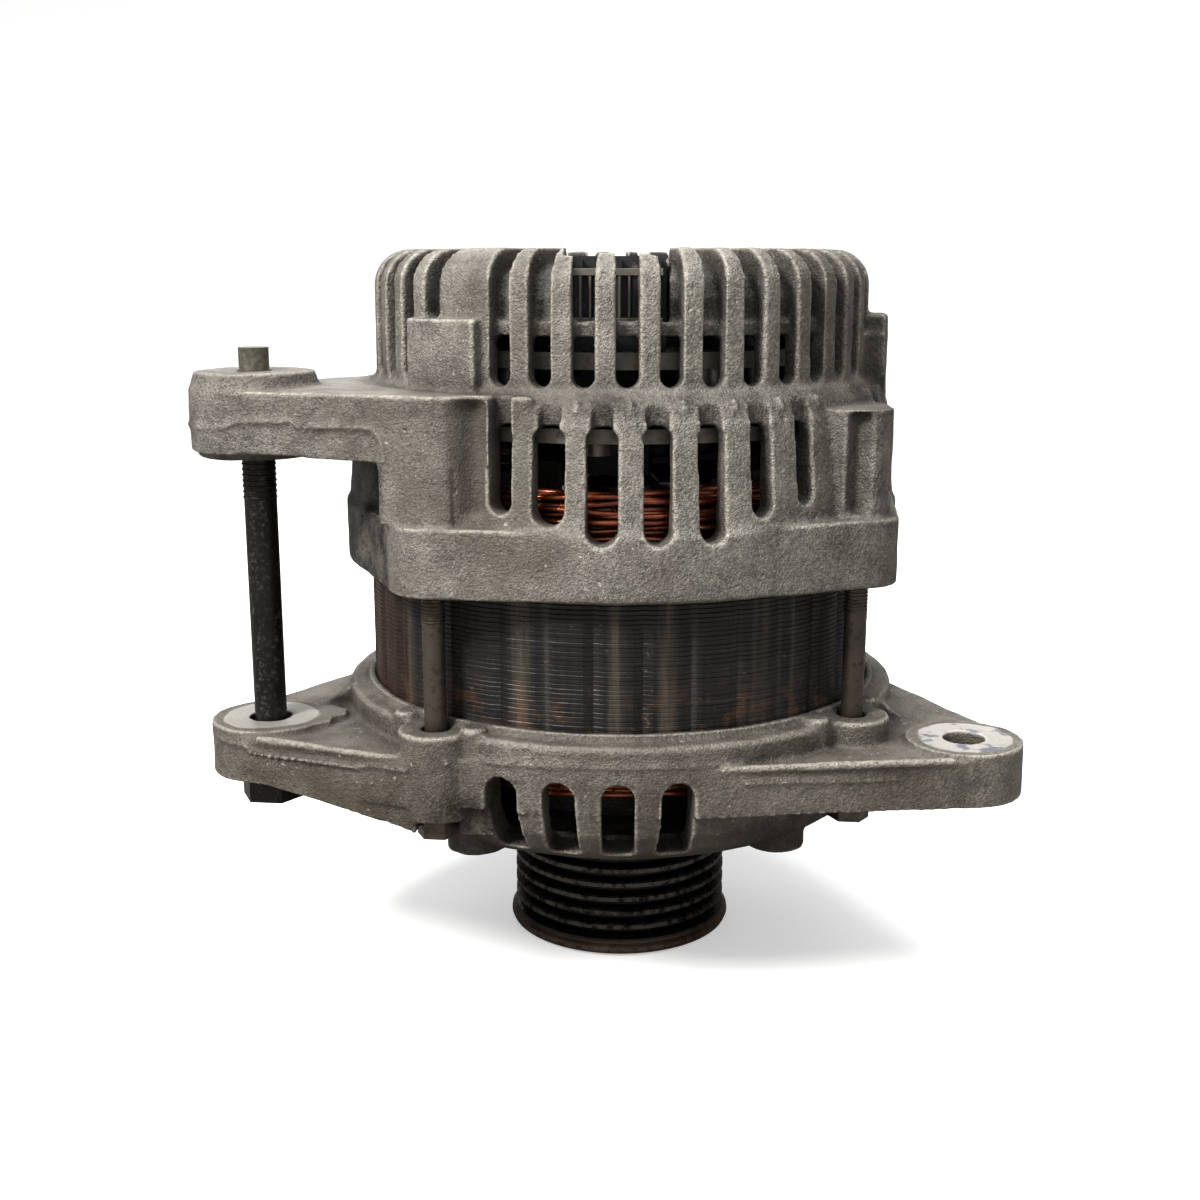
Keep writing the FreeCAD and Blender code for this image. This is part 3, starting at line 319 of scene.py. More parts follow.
# ---------------------------------------------------------------- other materials
def laminations():
    m = Material("m_laminations")
    x, y, z = m.split(m.place)
    angle = m.math("ARCTAN2", x, y * -1.0)

    def around(turn, height, detail, rough=0.6, scale=1.0):
        """Noise that varies round the core and with the given height value."""
        return m.noise(scale, detail, rough, at=m.join(angle * turn, height, 0.0))

    sheet = around(turn=3.0, height=z * 1000.0, detail=2, rough=0.5)
    wash = around(turn=9.0, height=z * 40.0, detail=5, rough=0.62, scale=1.6)
    m.base = m.ramp(wash, [
        (0.32, (0.004, 0.0035, 0.003)), (0.5, (0.009, 0.0078, 0.007)),
        (0.66, (0.019, 0.016, 0.014)), (0.85, (0.045, 0.037, 0.030))])
    m.paint((0.050, 0.043, 0.037), where=sheet.fade(over=(0.54, 0.74), to=(0.0, 0.45)))
    # soft upright bands beside the weld notches, uneven round the core
    band = m.math("ABSOLUTE", m.math("SINE", angle * 18.0))
    uneven = around(turn=5.2, height=3.0, detail=3).fade(over=(0.42, 0.62))
    tall = around(turn=40.0, height=z * 35.0, detail=4)
    rust = band.fade(over=(0.72, 1.0)) * uneven
    m.paint((0.105, 0.082, 0.060), where=rust * tall.fade(over=(0.30, 0.62), to=(0.25, 1.0)))
    grey = around(turn=4.1, height=9.0, detail=3).fade(over=(0.48, 0.60))
    m.paint((0.060, 0.056, 0.052), where=band.fade(over=(0.45, 0.10)) * grey * 0.75)
    deep = around(turn=6.3, height=17.0, detail=2, rough=0.5).fade(over=(0.54, 0.42))
    m.paint((0.004, 0.0035, 0.003), where=deep * 0.6)
    # orange rust low on the stack, dark rust all over its left end
    spots = m.noise(scale=170, detail=5, rough=0.65).fade(over=(0.50, 0.66))
    m.paint((0.11, 0.046, 0.022), where=z.fade(over=(0.066, 0.051)) * spots * 0.70)
    cover = m.noise(scale=90, detail=5, rough=0.6).fade(over=(0.3, 0.6), to=(0.55, 0.98))
    m.paint((0.028, 0.0095, 0.0060), where=x.fade(over=(-0.040, -0.050)) * cover)
    flakes = m.noise(scale=420, detail=3, rough=0.6).fade(over=(0.66, 0.72))
    m.paint((0.16, 0.105, 0.065), where=flakes * 0.38)
    height = m.noise(scale=1100, detail=4, rough=0.6) + sheet * 0.5
    return m.finish({
        "Metallic": 0.25, "Roughness": wash.fade(over=(0.3, 0.7), to=(0.60, 0.38)),
        "Normal": m.bump(height, strength=0.45, distance=0.00025)})


def copper():
    m = Material("m_copper")
    tint = m.noise(scale=180, detail=4, rough=0.6)
    m.base = m.ramp(tint, [
        (0.3, (0.13, 0.026, 0.010)), (0.5, (0.36, 0.080, 0.028)), (0.72, (0.60, 0.17, 0.060))])
    # painted shade in the gaps between the wires, from ambient occlusion
    gaps = m.openness(distance=0.004).fade(over=(0.80, 0.25), to=(0.0, 0.92))
    m.paint((0.014, 0.005, 0.003), where=gaps)
    height = m.noise(scale=700, detail=3, rough=0.5)
    return m.finish({
        "Metallic": 0.75, "Roughness": tint.fade(over=(0.3, 0.7), to=(0.34, 0.22)),
        "Normal": m.bump(height, strength=0.25, distance=0.0002),
        "Coat Weight": 0.5, "Coat Roughness": 0.15})


def worn_metal(name, color, rough, metal, dirt_and_shade, dirtiness, bump, scale=1.0):
    m = Material(name)
    broad = m.noise(scale=70 * scale, detail=6, rough=0.62)
    fine = m.noise(scale=600 * scale, detail=4, rough=0.6)
    m.base = m.ramp(broad, [
        (0.25, tuple(c * 0.62 for c in color)), (0.55, color),
        (0.8, tuple(min(1.0, c * 1.25) for c in color))])
    m.paint(dirt_and_shade, where=fine.fade(over=(0.52, 0.68)) * dirtiness)
    # painted shade in corners and hollows, from ambient occlusion, in the same colour as the dirt
    m.paint(dirt_and_shade, where=m.openness(distance=0.003).fade(over=(0.75, 0.25), to=(0.0, 0.8)))
    return m.finish({
        "Metallic": metal,
        "Roughness": fine.fade(over=(0.3, 0.7), to=(rough - 0.08, rough + 0.16)),
        "Normal": m.bump(fine + broad * 0.5, strength=bump, distance=0.0002)})


def dusty_plastic(name, color, rough):
    m = Material(name)
    broad = m.noise(scale=90, detail=5, rough=0.6)
    fine = m.noise(scale=1400, detail=3, rough=0.6)
    m.base = color
    faded = tuple(min(1.0, c * 1.6 + 0.02) for c in color)
    m.paint(faded, where=broad.fade(over=(0.4, 0.75), to=(0.0, 0.5)))
    dust = m.noise(scale=350, detail=4, rough=0.65).fade(over=(0.58, 0.72))
    m.paint((0.20, 0.17, 0.14), where=dust * 0.35)
    return m.finish({
        "Metallic": 0.0,
        "Roughness": fine.fade(over=(0.3, 0.7), to=(rough - 0.1, rough + 0.15)),
        "Normal": m.bump(fine + broad, strength=0.25, distance=0.00015),
        "Specular IOR Level": 0.4})


def pulley_black():
    m = Material("m_pulley")
    x, y, z = m.split(m.place)
    angle = m.math("ARCTAN2", x, y)
    rings = m.noise(scale=1.0, detail=5, rough=0.7, at=m.join(angle * 2.0, 0.0, z * 700.0))
    fine = m.noise(scale=500, detail=4, rough=0.6)
    m.base = m.ramp(fine, [
        (0.3, (0.0035, 0.0032, 0.003)), (0.6, (0.008, 0.0075, 0.007)),
        (0.8, (0.022, 0.018, 0.015))])
    # brown below z = -10 mm, and pale edges: wear and painted highlight
    brown = rings.fade(over=(0.35, 0.62), to=(0.45, 0.95))
    m.paint((0.125, 0.078, 0.050), where=z.fade(over=(-0.0100, -0.0118)) * brown)
    # painted highlight along the rib crests, with wear
    edge = m.pointiness().fade(over=(0.51, 0.58)) * fine.fade(over=(0.35, 0.6))
    m.paint((0.17, 0.150, 0.130), where=edge * 0.55)
    return m.finish({
        "Metallic": 0.60, "Roughness": fine.fade(over=(0.3, 0.75), to=(0.22, 0.40)),
        "Normal": m.bump(rings * 0.6 + fine, strength=0.25, distance=0.00015)})


def black_bolt():
    m = Material("m_black_bolt")
    x, y, z = m.split(m.place)
    broad = m.noise(scale=80, detail=5, rough=0.62)
    fine = m.noise(scale=900, detail=4, rough=0.65)
    m.base = m.ramp(broad, [
        (0.3, (0.006, 0.0055, 0.005)), (0.55, (0.013, 0.012, 0.011)),
        (0.8, (0.026, 0.023, 0.020))])
    # rubbed long faces, and bare metal at the upper end
    long = m.noise(scale=1.0, detail=4, rough=0.6, at=m.join(x * 420.0, y * 420.0, z * 30.0))
    wear_and_sheen = fine.fade(over=(0.50, 0.64)) * long.fade(over=(0.40, 0.62))
    m.paint((0.10, 0.088, 0.075), where=wear_and_sheen * 0.75)
    bare = m.ramp(fine, [(0.3, (0.085, 0.080, 0.060)), (0.7, (0.20, 0.19, 0.15))])
    m.paint(bare, where=z.fade(over=(0.1245, 0.1252)))
    return m.finish({
        "Metallic": 0.55, "Roughness": fine.fade(over=(0.3, 0.7), to=(0.34, 0.55)),
        "Normal": m.bump(fine + broad, strength=0.3, distance=0.0002)})


# One material for each material slot name of the CAD record
MATERIALS = {
    "cast_aluminium": sand_cast(
        "m_cast_front", tone=0.82, warm=(1.0, 0.915, 0.775), seed=0.0, grime=0.72,
        specks=0.65, zones=front_zones, washers=WASHER_FACES),
    "cast_aluminium_rear": sand_cast(
        "m_cast_rear", tone=1.08, warm=(1.0, 0.935, 0.82), seed=3.7, grime=0.62,
        specks=0.50, zones=rear_zones),
    "lamination_steel": laminations(),
    "copper_enamel": copper(),
    "slot_paper": dusty_plastic("m_paper", color=(0.50, 0.45, 0.30), rough=0.7),
    "bolt_steel": worn_metal(
        "m_bolt", color=(0.105, 0.088, 0.070), rough=0.42, metal=0.75,
        dirt_and_shade=(0.035, 0.022, 0.014), dirtiness=0.6, bump=0.35),
    "black_bolt": black_bolt(),
    "bearing_steel": worn_metal(
        "m_bearing", color=(0.48, 0.47, 0.46), rough=0.22, metal=1.0,
        dirt_and_shade=(0.10, 0.09, 0.08), dirtiness=0.2, bump=0.1, scale=1.5),
    "seal_rubber": dusty_plastic("m_seal", color=(0.015, 0.015, 0.015), rough=0.6),
    "sleeve_plastic": dusty_plastic("m_sleeve", color=(0.36, 0.33, 0.26), rough=0.55),
    "plated_steel": worn_metal(
        "m_plated", color=(0.22, 0.21, 0.185), rough=0.36, metal=0.9,
        dirt_and_shade=(0.12, 0.08, 0.05), dirtiness=0.5, bump=0.25, scale=1.2),
    "sink_aluminium": worn_metal(
        "m_sink", color=(0.20, 0.185, 0.155), rough=0.5, metal=0.55,
        dirt_and_shade=(0.10, 0.085, 0.065), dirtiness=0.5, bump=0.35, scale=1.2),
    "terminal_plastic": dusty_plastic("m_terminal", color=(0.03, 0.028, 0.026), rough=0.5),
    "black_plastic": dusty_plastic("m_black_plastic", color=(0.012, 0.012, 0.013), rough=0.42),
    "tinned_brass": worn_metal(
        "m_tinned", color=(0.52, 0.46, 0.32), rough=0.3, metal=0.9,
        dirt_and_shade=(0.15, 0.12, 0.08), dirtiness=0.3, bump=0.15),
    "forged_steel": worn_metal(
        "m_forged", color=(0.10, 0.095, 0.09), rough=0.42, metal=0.7,
        dirt_and_shade=(0.06, 0.04, 0.03), dirtiness=0.5, bump=0.4),
    "ring_copper": worn_metal(
        "m_ring", color=(0.60, 0.26, 0.12), rough=0.28, metal=1.0,
        dirt_and_shade=(0.16, 0.09, 0.05), dirtiness=0.3, bump=0.15),
    "pulley_black": pulley_black(),
    "carbon": dusty_plastic("m_carbon", color=(0.02, 0.02, 0.022), rough=0.6),
}
slot_of = {part["node"]: part["material_slot"] for part in frame["record"]["subparts"]}
for name, obj in nodes.items():
    material = MATERIALS[slot_of[name]]
    if not obj.material_slots:
        obj.data.materials.append(material)
    for material_slot in obj.material_slots:
        material_slot.material = material


# ---------------------------------------------------------------- mesh helpers
def at(radius, angle, z):
    """Point in metres from a radius and height in millimetres and an angle in degrees."""
    a = math.radians(angle)
    return Vector((radius * math.sin(a) * MM, -radius * math.cos(a) * MM, z * MM))


def set_material(obj, slot):
    obj.data.materials.clear()
    obj.data.materials.append(MATERIALS[slot])


def add_object(name, mesh, slot=None):
    obj = bpy.data.objects.new(name, mesh)
    bpy.context.scene.collection.objects.link(obj)
    if slot:
        set_material(obj, slot)
    return obj


def to_mesh(bm, name, fix_normals=False):
    if fix_normals:
        bmesh.ops.recalc_face_normals(bm, faces=bm.faces)
    mesh = bpy.data.meshes.new(name)
    bm.to_mesh(mesh)
    bm.free()
    return mesh


def append_mesh(bm, mesh, target):
    """Write the bmesh followed by the mesh into the target mesh."""
    bm.from_mesh(mesh)
    bm.to_mesh(target)
    bm.free()


def smooth_shade(obj):
    for polygon in obj.data.polygons:
        polygon.use_smooth = True


def bridge(bm, lower, upper):
    """Band of quads between two closed rings of vertices."""
    count = len(lower)
    for i in range(count):
        j = (i + 1) % count
        bm.faces.new((lower[i], lower[j], upper[j], upper[i]))


def prism(bm, bottom, top):
    """Closed solid between two matching loops of points, in metres."""
    lower = [bm.verts.new(p) for p in bottom]
    upper = [bm.verts.new(p) for p in top]
    bm.faces.new(lower[::-1])
    bm.faces.new(upper)
    bridge(bm, lower, upper)


def block(bm, outline, low, high):
    """Upright prism over an (x, y) outline."""
    prism(bm, *([Vector((x, y, z)) * MM for x, y in outline] for z in (low, high)))


def polar_block(bm, outline, low, high, turn=0.0):
    """Upright prism over a (radius, angle) outline, turned round the shaft."""
    prism(bm, *([at(radius, turn + angle, z) for radius, angle in outline]
                for z in (low, high)))


def tube(bm, path, radius, sides, closed=False):
    """Round tube along a list of points, all in metres."""
    count = len(path)
    rings = []
    for i, p in enumerate(path):
        before = path[(i - 1) % count] if closed or i > 0 else p
        after = path[(i + 1) % count] if closed or i < count - 1 else p
        along = (after - before).normalized()
        side = along.cross(Vector((0, 0, 1)))
        if side.length < 0.2:
            side = along.cross(Vector((1, 0, 0)))
        side.normalize()
        rise = side.cross(along).normalized()
        ring = []
        for k in range(sides):
            a = 2 * math.pi * k / sides
            ring.append(bm.verts.new(
                p + side * (math.cos(a) * radius) + rise * (math.sin(a) * radius)))
        rings.append(ring)
    for i in range(count if closed else count - 1):
        bridge(bm, rings[i], rings[(i + 1) % count])
    if not closed:
        bm.faces.new(rings[0][::-1])
        bm.faces.new(rings[-1])


def ridge(bm, points, radius, sides=6):
    """Round bead along points in millimetres."""
    tube(bm, [Vector(p) * MM for p in points], radius * MM, sides)


def dense(points, spacing=1.0):
    """Points with extra ones between, about one spacing apart."""
    result = [Vector(points[0])]
    for start, end in zip(points, points[1:]):
        start, end = Vector(start), Vector(end)
        count = max(1, int((end - start).length / spacing))
        result += [start.lerp(end, (k + 1) / count) for k in range(count)]
    return result


def smoothstep(value, low, high):
    t = min(1.0, max(0.0, (value - low) / (high - low)))
    return t * t * (3.0 - 2.0 * t)


# ---------------------------------------------------------------- castings
def casting(node, name, slot, add_extras, front_y):
    """Fuse a CAD frame with its extra solids into one soft, slightly wavy skin.

    front_y(x, y, z) gives each skin point its final y, in millimetres.
    """
    mesh = nodes[node].data.copy()
    mesh.name = name
    obj = add_object(name, mesh)
    bm = bmesh.new()
    add_extras(bm)
    extras = to_mesh(bm, name + "_x", fix_normals=True)
    both = bmesh.new()
    both.from_mesh(mesh)
    append_mesh(both, extras, target=mesh)
    bpy.data.meshes.remove(extras)

    remesh = obj.modifiers.new("remesh", "REMESH")
    remesh.mode = "VOXEL"
    remesh.voxel_size = VOXEL * MM
    remesh.adaptivity = 0.0
    soften = obj.modifiers.new("smooth", "SMOOTH")
    soften.factor = 0.5
    soften.iterations = 2
    clouds = bpy.data.textures.new(name + "_t", "CLOUDS")
    clouds.noise_scale = 0.012
    clouds.noise_depth = 2
    waves = obj.modifiers.new("waves", "DISPLACE")
    waves.texture = clouds
    waves.texture_coords = "LOCAL"
    waves.strength = 0.0005
    waves.mid_level = 0.5

    # apply the modifiers, then set the front surface
    evaluated = obj.evaluated_get(bpy.context.evaluated_depsgraph_get())
    skin = bpy.data.meshes.new_from_object(evaluated)
    obj.modifiers.clear()
    obj.data = skin
    skin.name = name
    bpy.data.meshes.remove(mesh)
    for v in skin.vertices:
        v.co.y = front_y(v.co.x / MM, v.co.y / MM, v.co.z / MM) * MM
    skin.update()
    set_material(obj, slot)
    smooth_shade(obj)
    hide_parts(node)
    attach(obj, "housing")


# Front wall of the left web: a straight line in plan through one point
WEB_WALL_X, WEB_WALL_Y = -81.44, -49.05
WEB_WALL_SLOPE = 0.3103

# Bead lines of the drive-end frame: x, y, z
FRONT_FLASH_LEFT = [
    (-88.5, -42.0, 44.8), (-86.4, -46.2, 44.5), (-84.9, -47.4, 43.9), (-81.9, -48.95, 43.6),
    (-78.8, -49.95, 43.35), (-77.0, -50.5, 41.6), (-63.4, -54.75, 42.2), (-51.6, -58.4, 42.3),
    (-48.4, -59.4, 43.3), (-39.6, -62.1, 43.3)]
FRONT_FLASH_RIM = [
    (-26.2, -60.6, 45.5), (-19.3, -63.2, 46.1), (-13.0, -64.8, 46.4), (-6.2, -65.75, 46.6),
    (0.0, -66.05, 46.7), (6.2, -65.75, 46.7), (12.5, -64.9, 46.7), (18.5, -63.4, 46.6),
    (28.1, -59.8, 46.3)]
FRONT_FLASH_RIGHT = [(32.0, -60.05, 42.4), (48.0, -56.5, 42.2), (64.0, -52.95, 42.0)]
LIP_RIGHT = [(27.0, -60.6, 45.3), (45.0, -56.9, 45.35), (62.0, -53.0, 45.3), (76.0, -49.8, 45.2)]
LIP_LEFT = [(-30.5, -62.0, 45.2), (-46.0, -59.6, 45.2), (-62.0, -54.7, 45.2), (-76.0, -50.3, 45.1)]
# Ragged lobe of the left washer face: x, y
WASHER_LOBE = [
    (-70.0, -44.0), (-66.0, -42.6), (-62.6, -39.4), (-62.9, -36.0), (-60.6, -33.2),
    (-61.4, -29.0), (-65.5, -26.6), (-71.0, -27.5)]


def web_wall(x):
    return WEB_WALL_Y - WEB_WALL_SLOPE * (x - WEB_WALL_X)


def front_extras(bm):
    # flash line along the left web, over the rim and along the right web
    ridge(bm, dense(FRONT_FLASH_LEFT), radius=0.62)
    ridge(bm, dense(FRONT_FLASH_RIM), radius=0.5)
    ridge(bm, dense(FRONT_FLASH_RIGHT), radius=0.5)
    block(bm, WASHER_LOBE, low=44.0, high=46.5)
    # raised lips between the rim and each web
    ridge(bm, dense(LIP_RIGHT), radius=1.05, sides=8)
    ridge(bm, dense(LIP_LEFT), radius=0.95, sides=8)
    # the left web's front wall carries on down to the keel's lower edge
    foot = [(-57.0, web_wall(-57.0) + 0.3, 33.0), (-38.0, web_wall(-38.0) + 0.8, 28.8),
            (-38.0, -53.0, 28.8), (-57.0, -52.0, 33.0)]
    prism(bm, [Vector(p) * MM for p in foot], [Vector((x, y, 35.6)) * MM for x, y, _ in foot])
    # fillets from the rim out over both webs: thinner and lower as they go out
    for side in (-1, 1):
        for k in range(7):
            t = k / 6.0
            size = 6.2 * (1 - t) ** 1.5 + 1.2
            x = side * (60.5 + 9.0 * t)
            z = 46.9 - 2.2 * t
            ridge(bm, [(x, -22.0 + 1.0 * t, z), (x * 0.985, 8.0 - 12.0 * t, z)],
                  radius=size * 0.55, sides=8)


def front_frame_y(x, y, z):
    """The left keel runs flush with the web's front wall."""
    if x < -49.0 and z < 41.5 and y < -46.0:
        amount = smoothstep(x, -49.0, -52.5)
        return y + amount * max(0.0, web_wall(x) + 0.15 - y)
    return y


# Flash line of the rear frame, round the left ear, along its arm, down the column: x, y, z
REAR_FLASH = [
    (-91.8, -36.9, 113.9), (-90.9, -41.4, 114.0), (-86.3, -47.7, 114.1), (-79.7, -50.6, 114.4),
    (-77.2, -51.1, 115.7), (-70.2, -52.65, 116.0), (-64.0, -54.0, 116.1), (-62.6, -54.3, 115.1),
    (-59.9, -54.85, 115.1), (-52.9, -56.45, 115.5), (-47.9, -57.8, 115.5), (-45.7, -58.4, 115.2),
    (-44.3, -58.8, 114.2), (-43.5, -59.05, 112.6), (-43.3, -59.1, 110.0), (-43.2, -59.0, 108.4)]
# Fill blocks of the rear frame: x, y
EAR_FRONT = [
    (-81.2, -50.2), (-77.4, -50.95), (-68.0, -53.05), (-59.0, -55.0), (-58.0, -45.0),
    (-78.0, -40.0)]
LEFT_COLUMN = [
    (-44.9, -58.35), (-39.0, -60.55), (-33.0, -62.65), (-29.0, -62.25), (-29.0, -57.0),
    (-42.0, -52.5)]
# Fill blocks of the rear frame: radius, angle
RIGHT_COLUMN = [(60.5, 50.3), (66.4, 50.5), (66.4, 54.5), (60.5, 54.7)]
BOLT_BLOCK = [(54.2, -2.7), (60.2, -2.5), (60.2, 2.5), (54.2, 2.7)]
WIDE_BLOCK = [(54.6, 80.8), (61.5, 81.2), (61.9, 86.0), (61.5, 90.8), (54.6, 91.2)]
BOLT_BLOCK_ANGLES = (-38.3, 141.7, 231.7)
# Rib angles in one quarter; the last quarter has only the first three
RIB_ANGLES = (-21.8, -12.6, -3.0, 7.1, 17.2, 27.3, 37.4, 47.0)


def rear_extras(bm):
    ridge(bm, dense(REAR_FLASH, spacing=0.8), radius=0.62)
    # the ear's front runs flat into the arm
    block(bm, EAR_FRONT, low=108.7, high=121.9)
    # the left column stands flush under the arm, the right one has only a shallow hollow
    block(bm, LEFT_COLUMN, low=95.2, high=121.6)
    polar_block(bm, RIGHT_COLUMN, low=96.0, high=117.6)
    # shoulder beads where the ribs turn over the step
    for quarter in range(4):
        for angle in RIB_ANGLES[:3] if quarter == 3 else RIB_ANGLES:
            turn = angle + 90 * quarter
            tube(bm, [at(61.6, turn, 119.0), at(60.6, turn, 121.6)], radius=0.9 * MM, sides=8)
    # the blocks over the through bolts keep a closed top, no fin groove runs into them
    for turn in BOLT_BLOCK_ANGLES:
        polar_block(bm, BOLT_BLOCK, low=130.2, high=137.2, turn=turn)
    polar_block(bm, WIDE_BLOCK, low=130.2, high=137.2)


def rear_frame_y(x, y, z):
    """Soft upright valley between the left column and the first window."""
    if -32.0 < x < -17.0 and y < -56.0 and 96.0 < z < 123.5:
        amount = smoothstep(z, 96.4, 99.2) * smoothstep(z, 123.4, 119.4)
        valley = -62.6 + 3.6 * math.exp(-((x + 24.2) / 3.5) ** 2)
        return y + amount * max(0.0, valley - y)
    return y


casting("drive_end_frame", "drive_end_casting", "cast_aluminium", front_extras, front_frame_y)
casting("rear_frame", "rear_casting", "cast_aluminium_rear", rear_extras, rear_frame_y)

# ---------------------------------------------------------------- comb on the regulator's front
COMB_ANGLE = 4.5
COMB_BACK = 46.0                  # radius of the inner side of every bar and fin
COMB_HALF_WIDTH = 9.4
FIN_COUNT, FIN_PITCH, FIRST_FIN = 9, 2.0, -7.6
FIN_HALF_WIDTH = 0.35


def regulator_comb():
    bm = bmesh.new()
    a = math.radians(COMB_ANGLE)
    outward = Vector((math.sin(a), -math.cos(a), 0))
    sideways = Vector((math.cos(a), math.sin(a), 0))

    def slab(left, right, low, high, front):
        """Box across the comb, tapering 0.1 on each side towards its front radius."""
        corners = [
            outward * COMB_BACK + sideways * left,
            outward * COMB_BACK + sideways * right,
            outward * front + sideways * (right - 0.1),
            outward * front + sideways * (left + 0.1)]
        prism(bm, *([(c + Vector((0, 0, z))) * MM for c in corners] for z in (low, high)))

    slab(-COMB_HALF_WIDTH, COMB_HALF_WIDTH, low=145.9, high=147.3, front=49.0)
    slab(-COMB_HALF_WIDTH, COMB_HALF_WIDTH, low=136.6, high=137.4, front=48.8)
    for k in range(FIN_COUNT):
        middle = FIRST_FIN + FIN_PITCH * k
        slab(middle - FIN_HALF_WIDTH, middle + FIN_HALF_WIDTH, low=137.2, high=146.2, front=48.85)
    mesh = to_mesh(bm, "regulator_comb", fix_normals=True)
    obj = add_object("regulator_comb", mesh, "sink_aluminium")
    bevel = obj.modifiers.new("edges", "BEVEL")
    bevel.width = 0.0001
    bevel.segments = 2
    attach(obj, "housing")


regulator_comb()


# ---------------------------------------------------------------- rolled threads
def threads(name, centers, radius, wire, pitch, low, high, slot):
    """Stacked rings of round wire on upright bolts."""
    bm = bmesh.new()
    for center_x, center_y in centers:
        z = low
        while z < high:
            turn = [2 * math.pi * k / 24 for k in range(24)]
            path = [Vector((center_x + radius * math.cos(a), center_y + radius * math.sin(a), z))
                    * MM for a in turn]
            tube(bm, path, wire * MM, sides=6, closed=True)
            z += pitch
    obj = add_object(name, to_mesh(bm, name), slot)
    smooth_shade(obj)
    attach(obj, "housing")


through_bolts = [(at(THROUGH_BOLT_RADIUS, angle, 0) / MM)[:2] for angle in THROUGH_BOLT_ANGLES]
threads("through_bolt_threads", through_bolts, radius=2.38, wire=0.26, pitch=0.8,
        low=74.4, high=80.6, slot="bolt_steel")
threads("pivot_bolt_thread", [PIVOT_BOLT], radius=3.56, wire=0.28, pitch=1.25,
        low=97.5, high=107.6, slot="black_bolt")

# ---------------------------------------------------------------- stator laminations
SHEET_PITCH = 1.0
SHEET_RADIUS = 59.9
CORE_INNER_RADIUS = 57.5          # inner wall of the laminated ring, at the slot bottoms
NOTCH_PITCH = 10.0                # degrees between weld notches
NOTCH_HALF_WIDTH = 1.15           # degrees
NOTCH_DEPTH = 0.6
TOOTH_LIMIT, TOOTH_RADIUS = 58.5, 58.3     # core points beyond the limit move to the radius


def stator_laminations():
    draw = random.Random(7)
    bm = bmesh.new()
    segments = 360
    half_pitch = NOTCH_PITCH / 2

    # each sheet is a flat band between two grooves of random depth
    rows = []
    for k in range(int(round((CORE_TOP - CORE_BOTTOM) / SHEET_PITCH))):
        groove = -0.10 - 0.10 * draw.random()
        for rise, inset in ((0.0, groove), (0.14, 0.0), (0.86, 0.0), (0.999, groove)):
            row = []
            for i in range(segments):
                angle = 360.0 * i / segments
                a = math.radians(angle)
                off_notch = abs(angle % NOTCH_PITCH - half_pitch)
                notch = max(0.0, 1.0 - (off_notch / NOTCH_HALF_WIDTH) ** 4) * NOTCH_DEPTH
                wobble = 0.07 * noise.noise(Vector((math.cos(a) * 3, math.sin(a) * 3, k * 1.7)))
                # turned half a pitch, so the notches stand at whole tens of degrees
                row.append(bm.verts.new(at(SHEET_RADIUS + inset - notch + wobble,
                                           angle + half_pitch,
                                           CORE_BOTTOM + k * SHEET_PITCH + rise)))
            rows.append(row)
    for lower, upper in zip(rows, rows[1:]):
        bridge(bm, lower, upper)

    # inner wall and the flat ends close the ring
    bottom, top = [
        [bm.verts.new(at(CORE_INNER_RADIUS, 360.0 * i / segments + half_pitch, z))
         for i in range(segments)]
        for z in (CORE_BOTTOM, CORE_TOP - 0.001)]
    for i in range(segments):
        j = (i + 1) % segments
        bm.faces.new((bottom[j], bottom[i], top[i], top[j]))
        bm.faces.new((bottom[i], bottom[j], rows[0][j], rows[0][i]))
        bm.faces.new((top[j], top[i], rows[-1][i], rows[-1][j]))
    mesh = to_mesh(bm, "stator_laminations", fix_normals=True)

    # teeth and slots of the CAD core, kept inside the laminated ring
    core = bmesh.new()
    core.from_mesh(nodes["stator_core"].data)
    for v in core.verts:
        radius = math.hypot(v.co.x, v.co.y)
        if radius > TOOTH_LIMIT * MM:
            scale = TOOTH_RADIUS * MM / radius
            v.co.x *= scale
            v.co.y *= scale
    append_mesh(core, mesh, target=mesh)
    obj = add_object("stator_laminations", mesh, "lamination_steel")
    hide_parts("stator_core")
    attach(obj, "housing")


stator_laminations()

# ---------------------------------------------------------------- windings
# Outer face of the end turns: radius, z
UPPER_CROWN = [(55.3, 86.0), (56.0, 95.5), (54.6, 100.2), (50.8, 101.4)]
LOWER_CROWN = [(54.6, 47.3), (53.4, 40.5), (50.4, 34.6)]
CROWN_WIRE = 0.72                 # wire radius of the ring-shaped turns
CROWN_SPREAD = 0.6                # how far those turns wander up and down
CROWN_POINTS = 200
LOOP_WIRE = 0.62                  # wire radius of the loops leaving the slots
LOOP_COUNT, LOOP_POINTS = 36, 9


def crown(bm, draw, profile, rows):
    """Wavy closed turns spread evenly over the spans of a profile."""
    spans = len(profile) - 1
    for k in range(rows):
        t = (k + 0.5) / rows * spans
        i = min(int(t), spans - 1)
        f = t - i
        radius, z = [p * (1 - f) + q * f for p, q in zip(profile[i], profile[i + 1])]
        start = draw.uniform(0, 360)
        phase = [draw.uniform(0, 6.28) for _ in range(4)]
        path = []
        for j in range(CROWN_POINTS):
            a = math.radians(start + 360.0 * j / CROWN_POINTS)
            rise = CROWN_SPREAD * (
                0.75 * math.sin(3 * a + phase[0]) + 0.55 * math.sin(7 * a + phase[1])
                + 0.20 * math.sin(17 * a + phase[2]))
            swell = 0.45 * math.sin(8 * a + phase[3]) - 0.25 * (k % 2)
            r = (radius + swell) * MM
            path.append(Vector((r * math.sin(a), -r * math.cos(a), (z + rise) * MM)))
        tube(bm, path, CROWN_WIRE * MM, sides=7, closed=True)


def upper_loop_radius(t):
    return 54.9 + 1.1 * math.sin(t * math.pi * 0.8) - 1.5 * t * t


def lower_loop_radius(t):
    return 55.0 - 4.2 * t * t


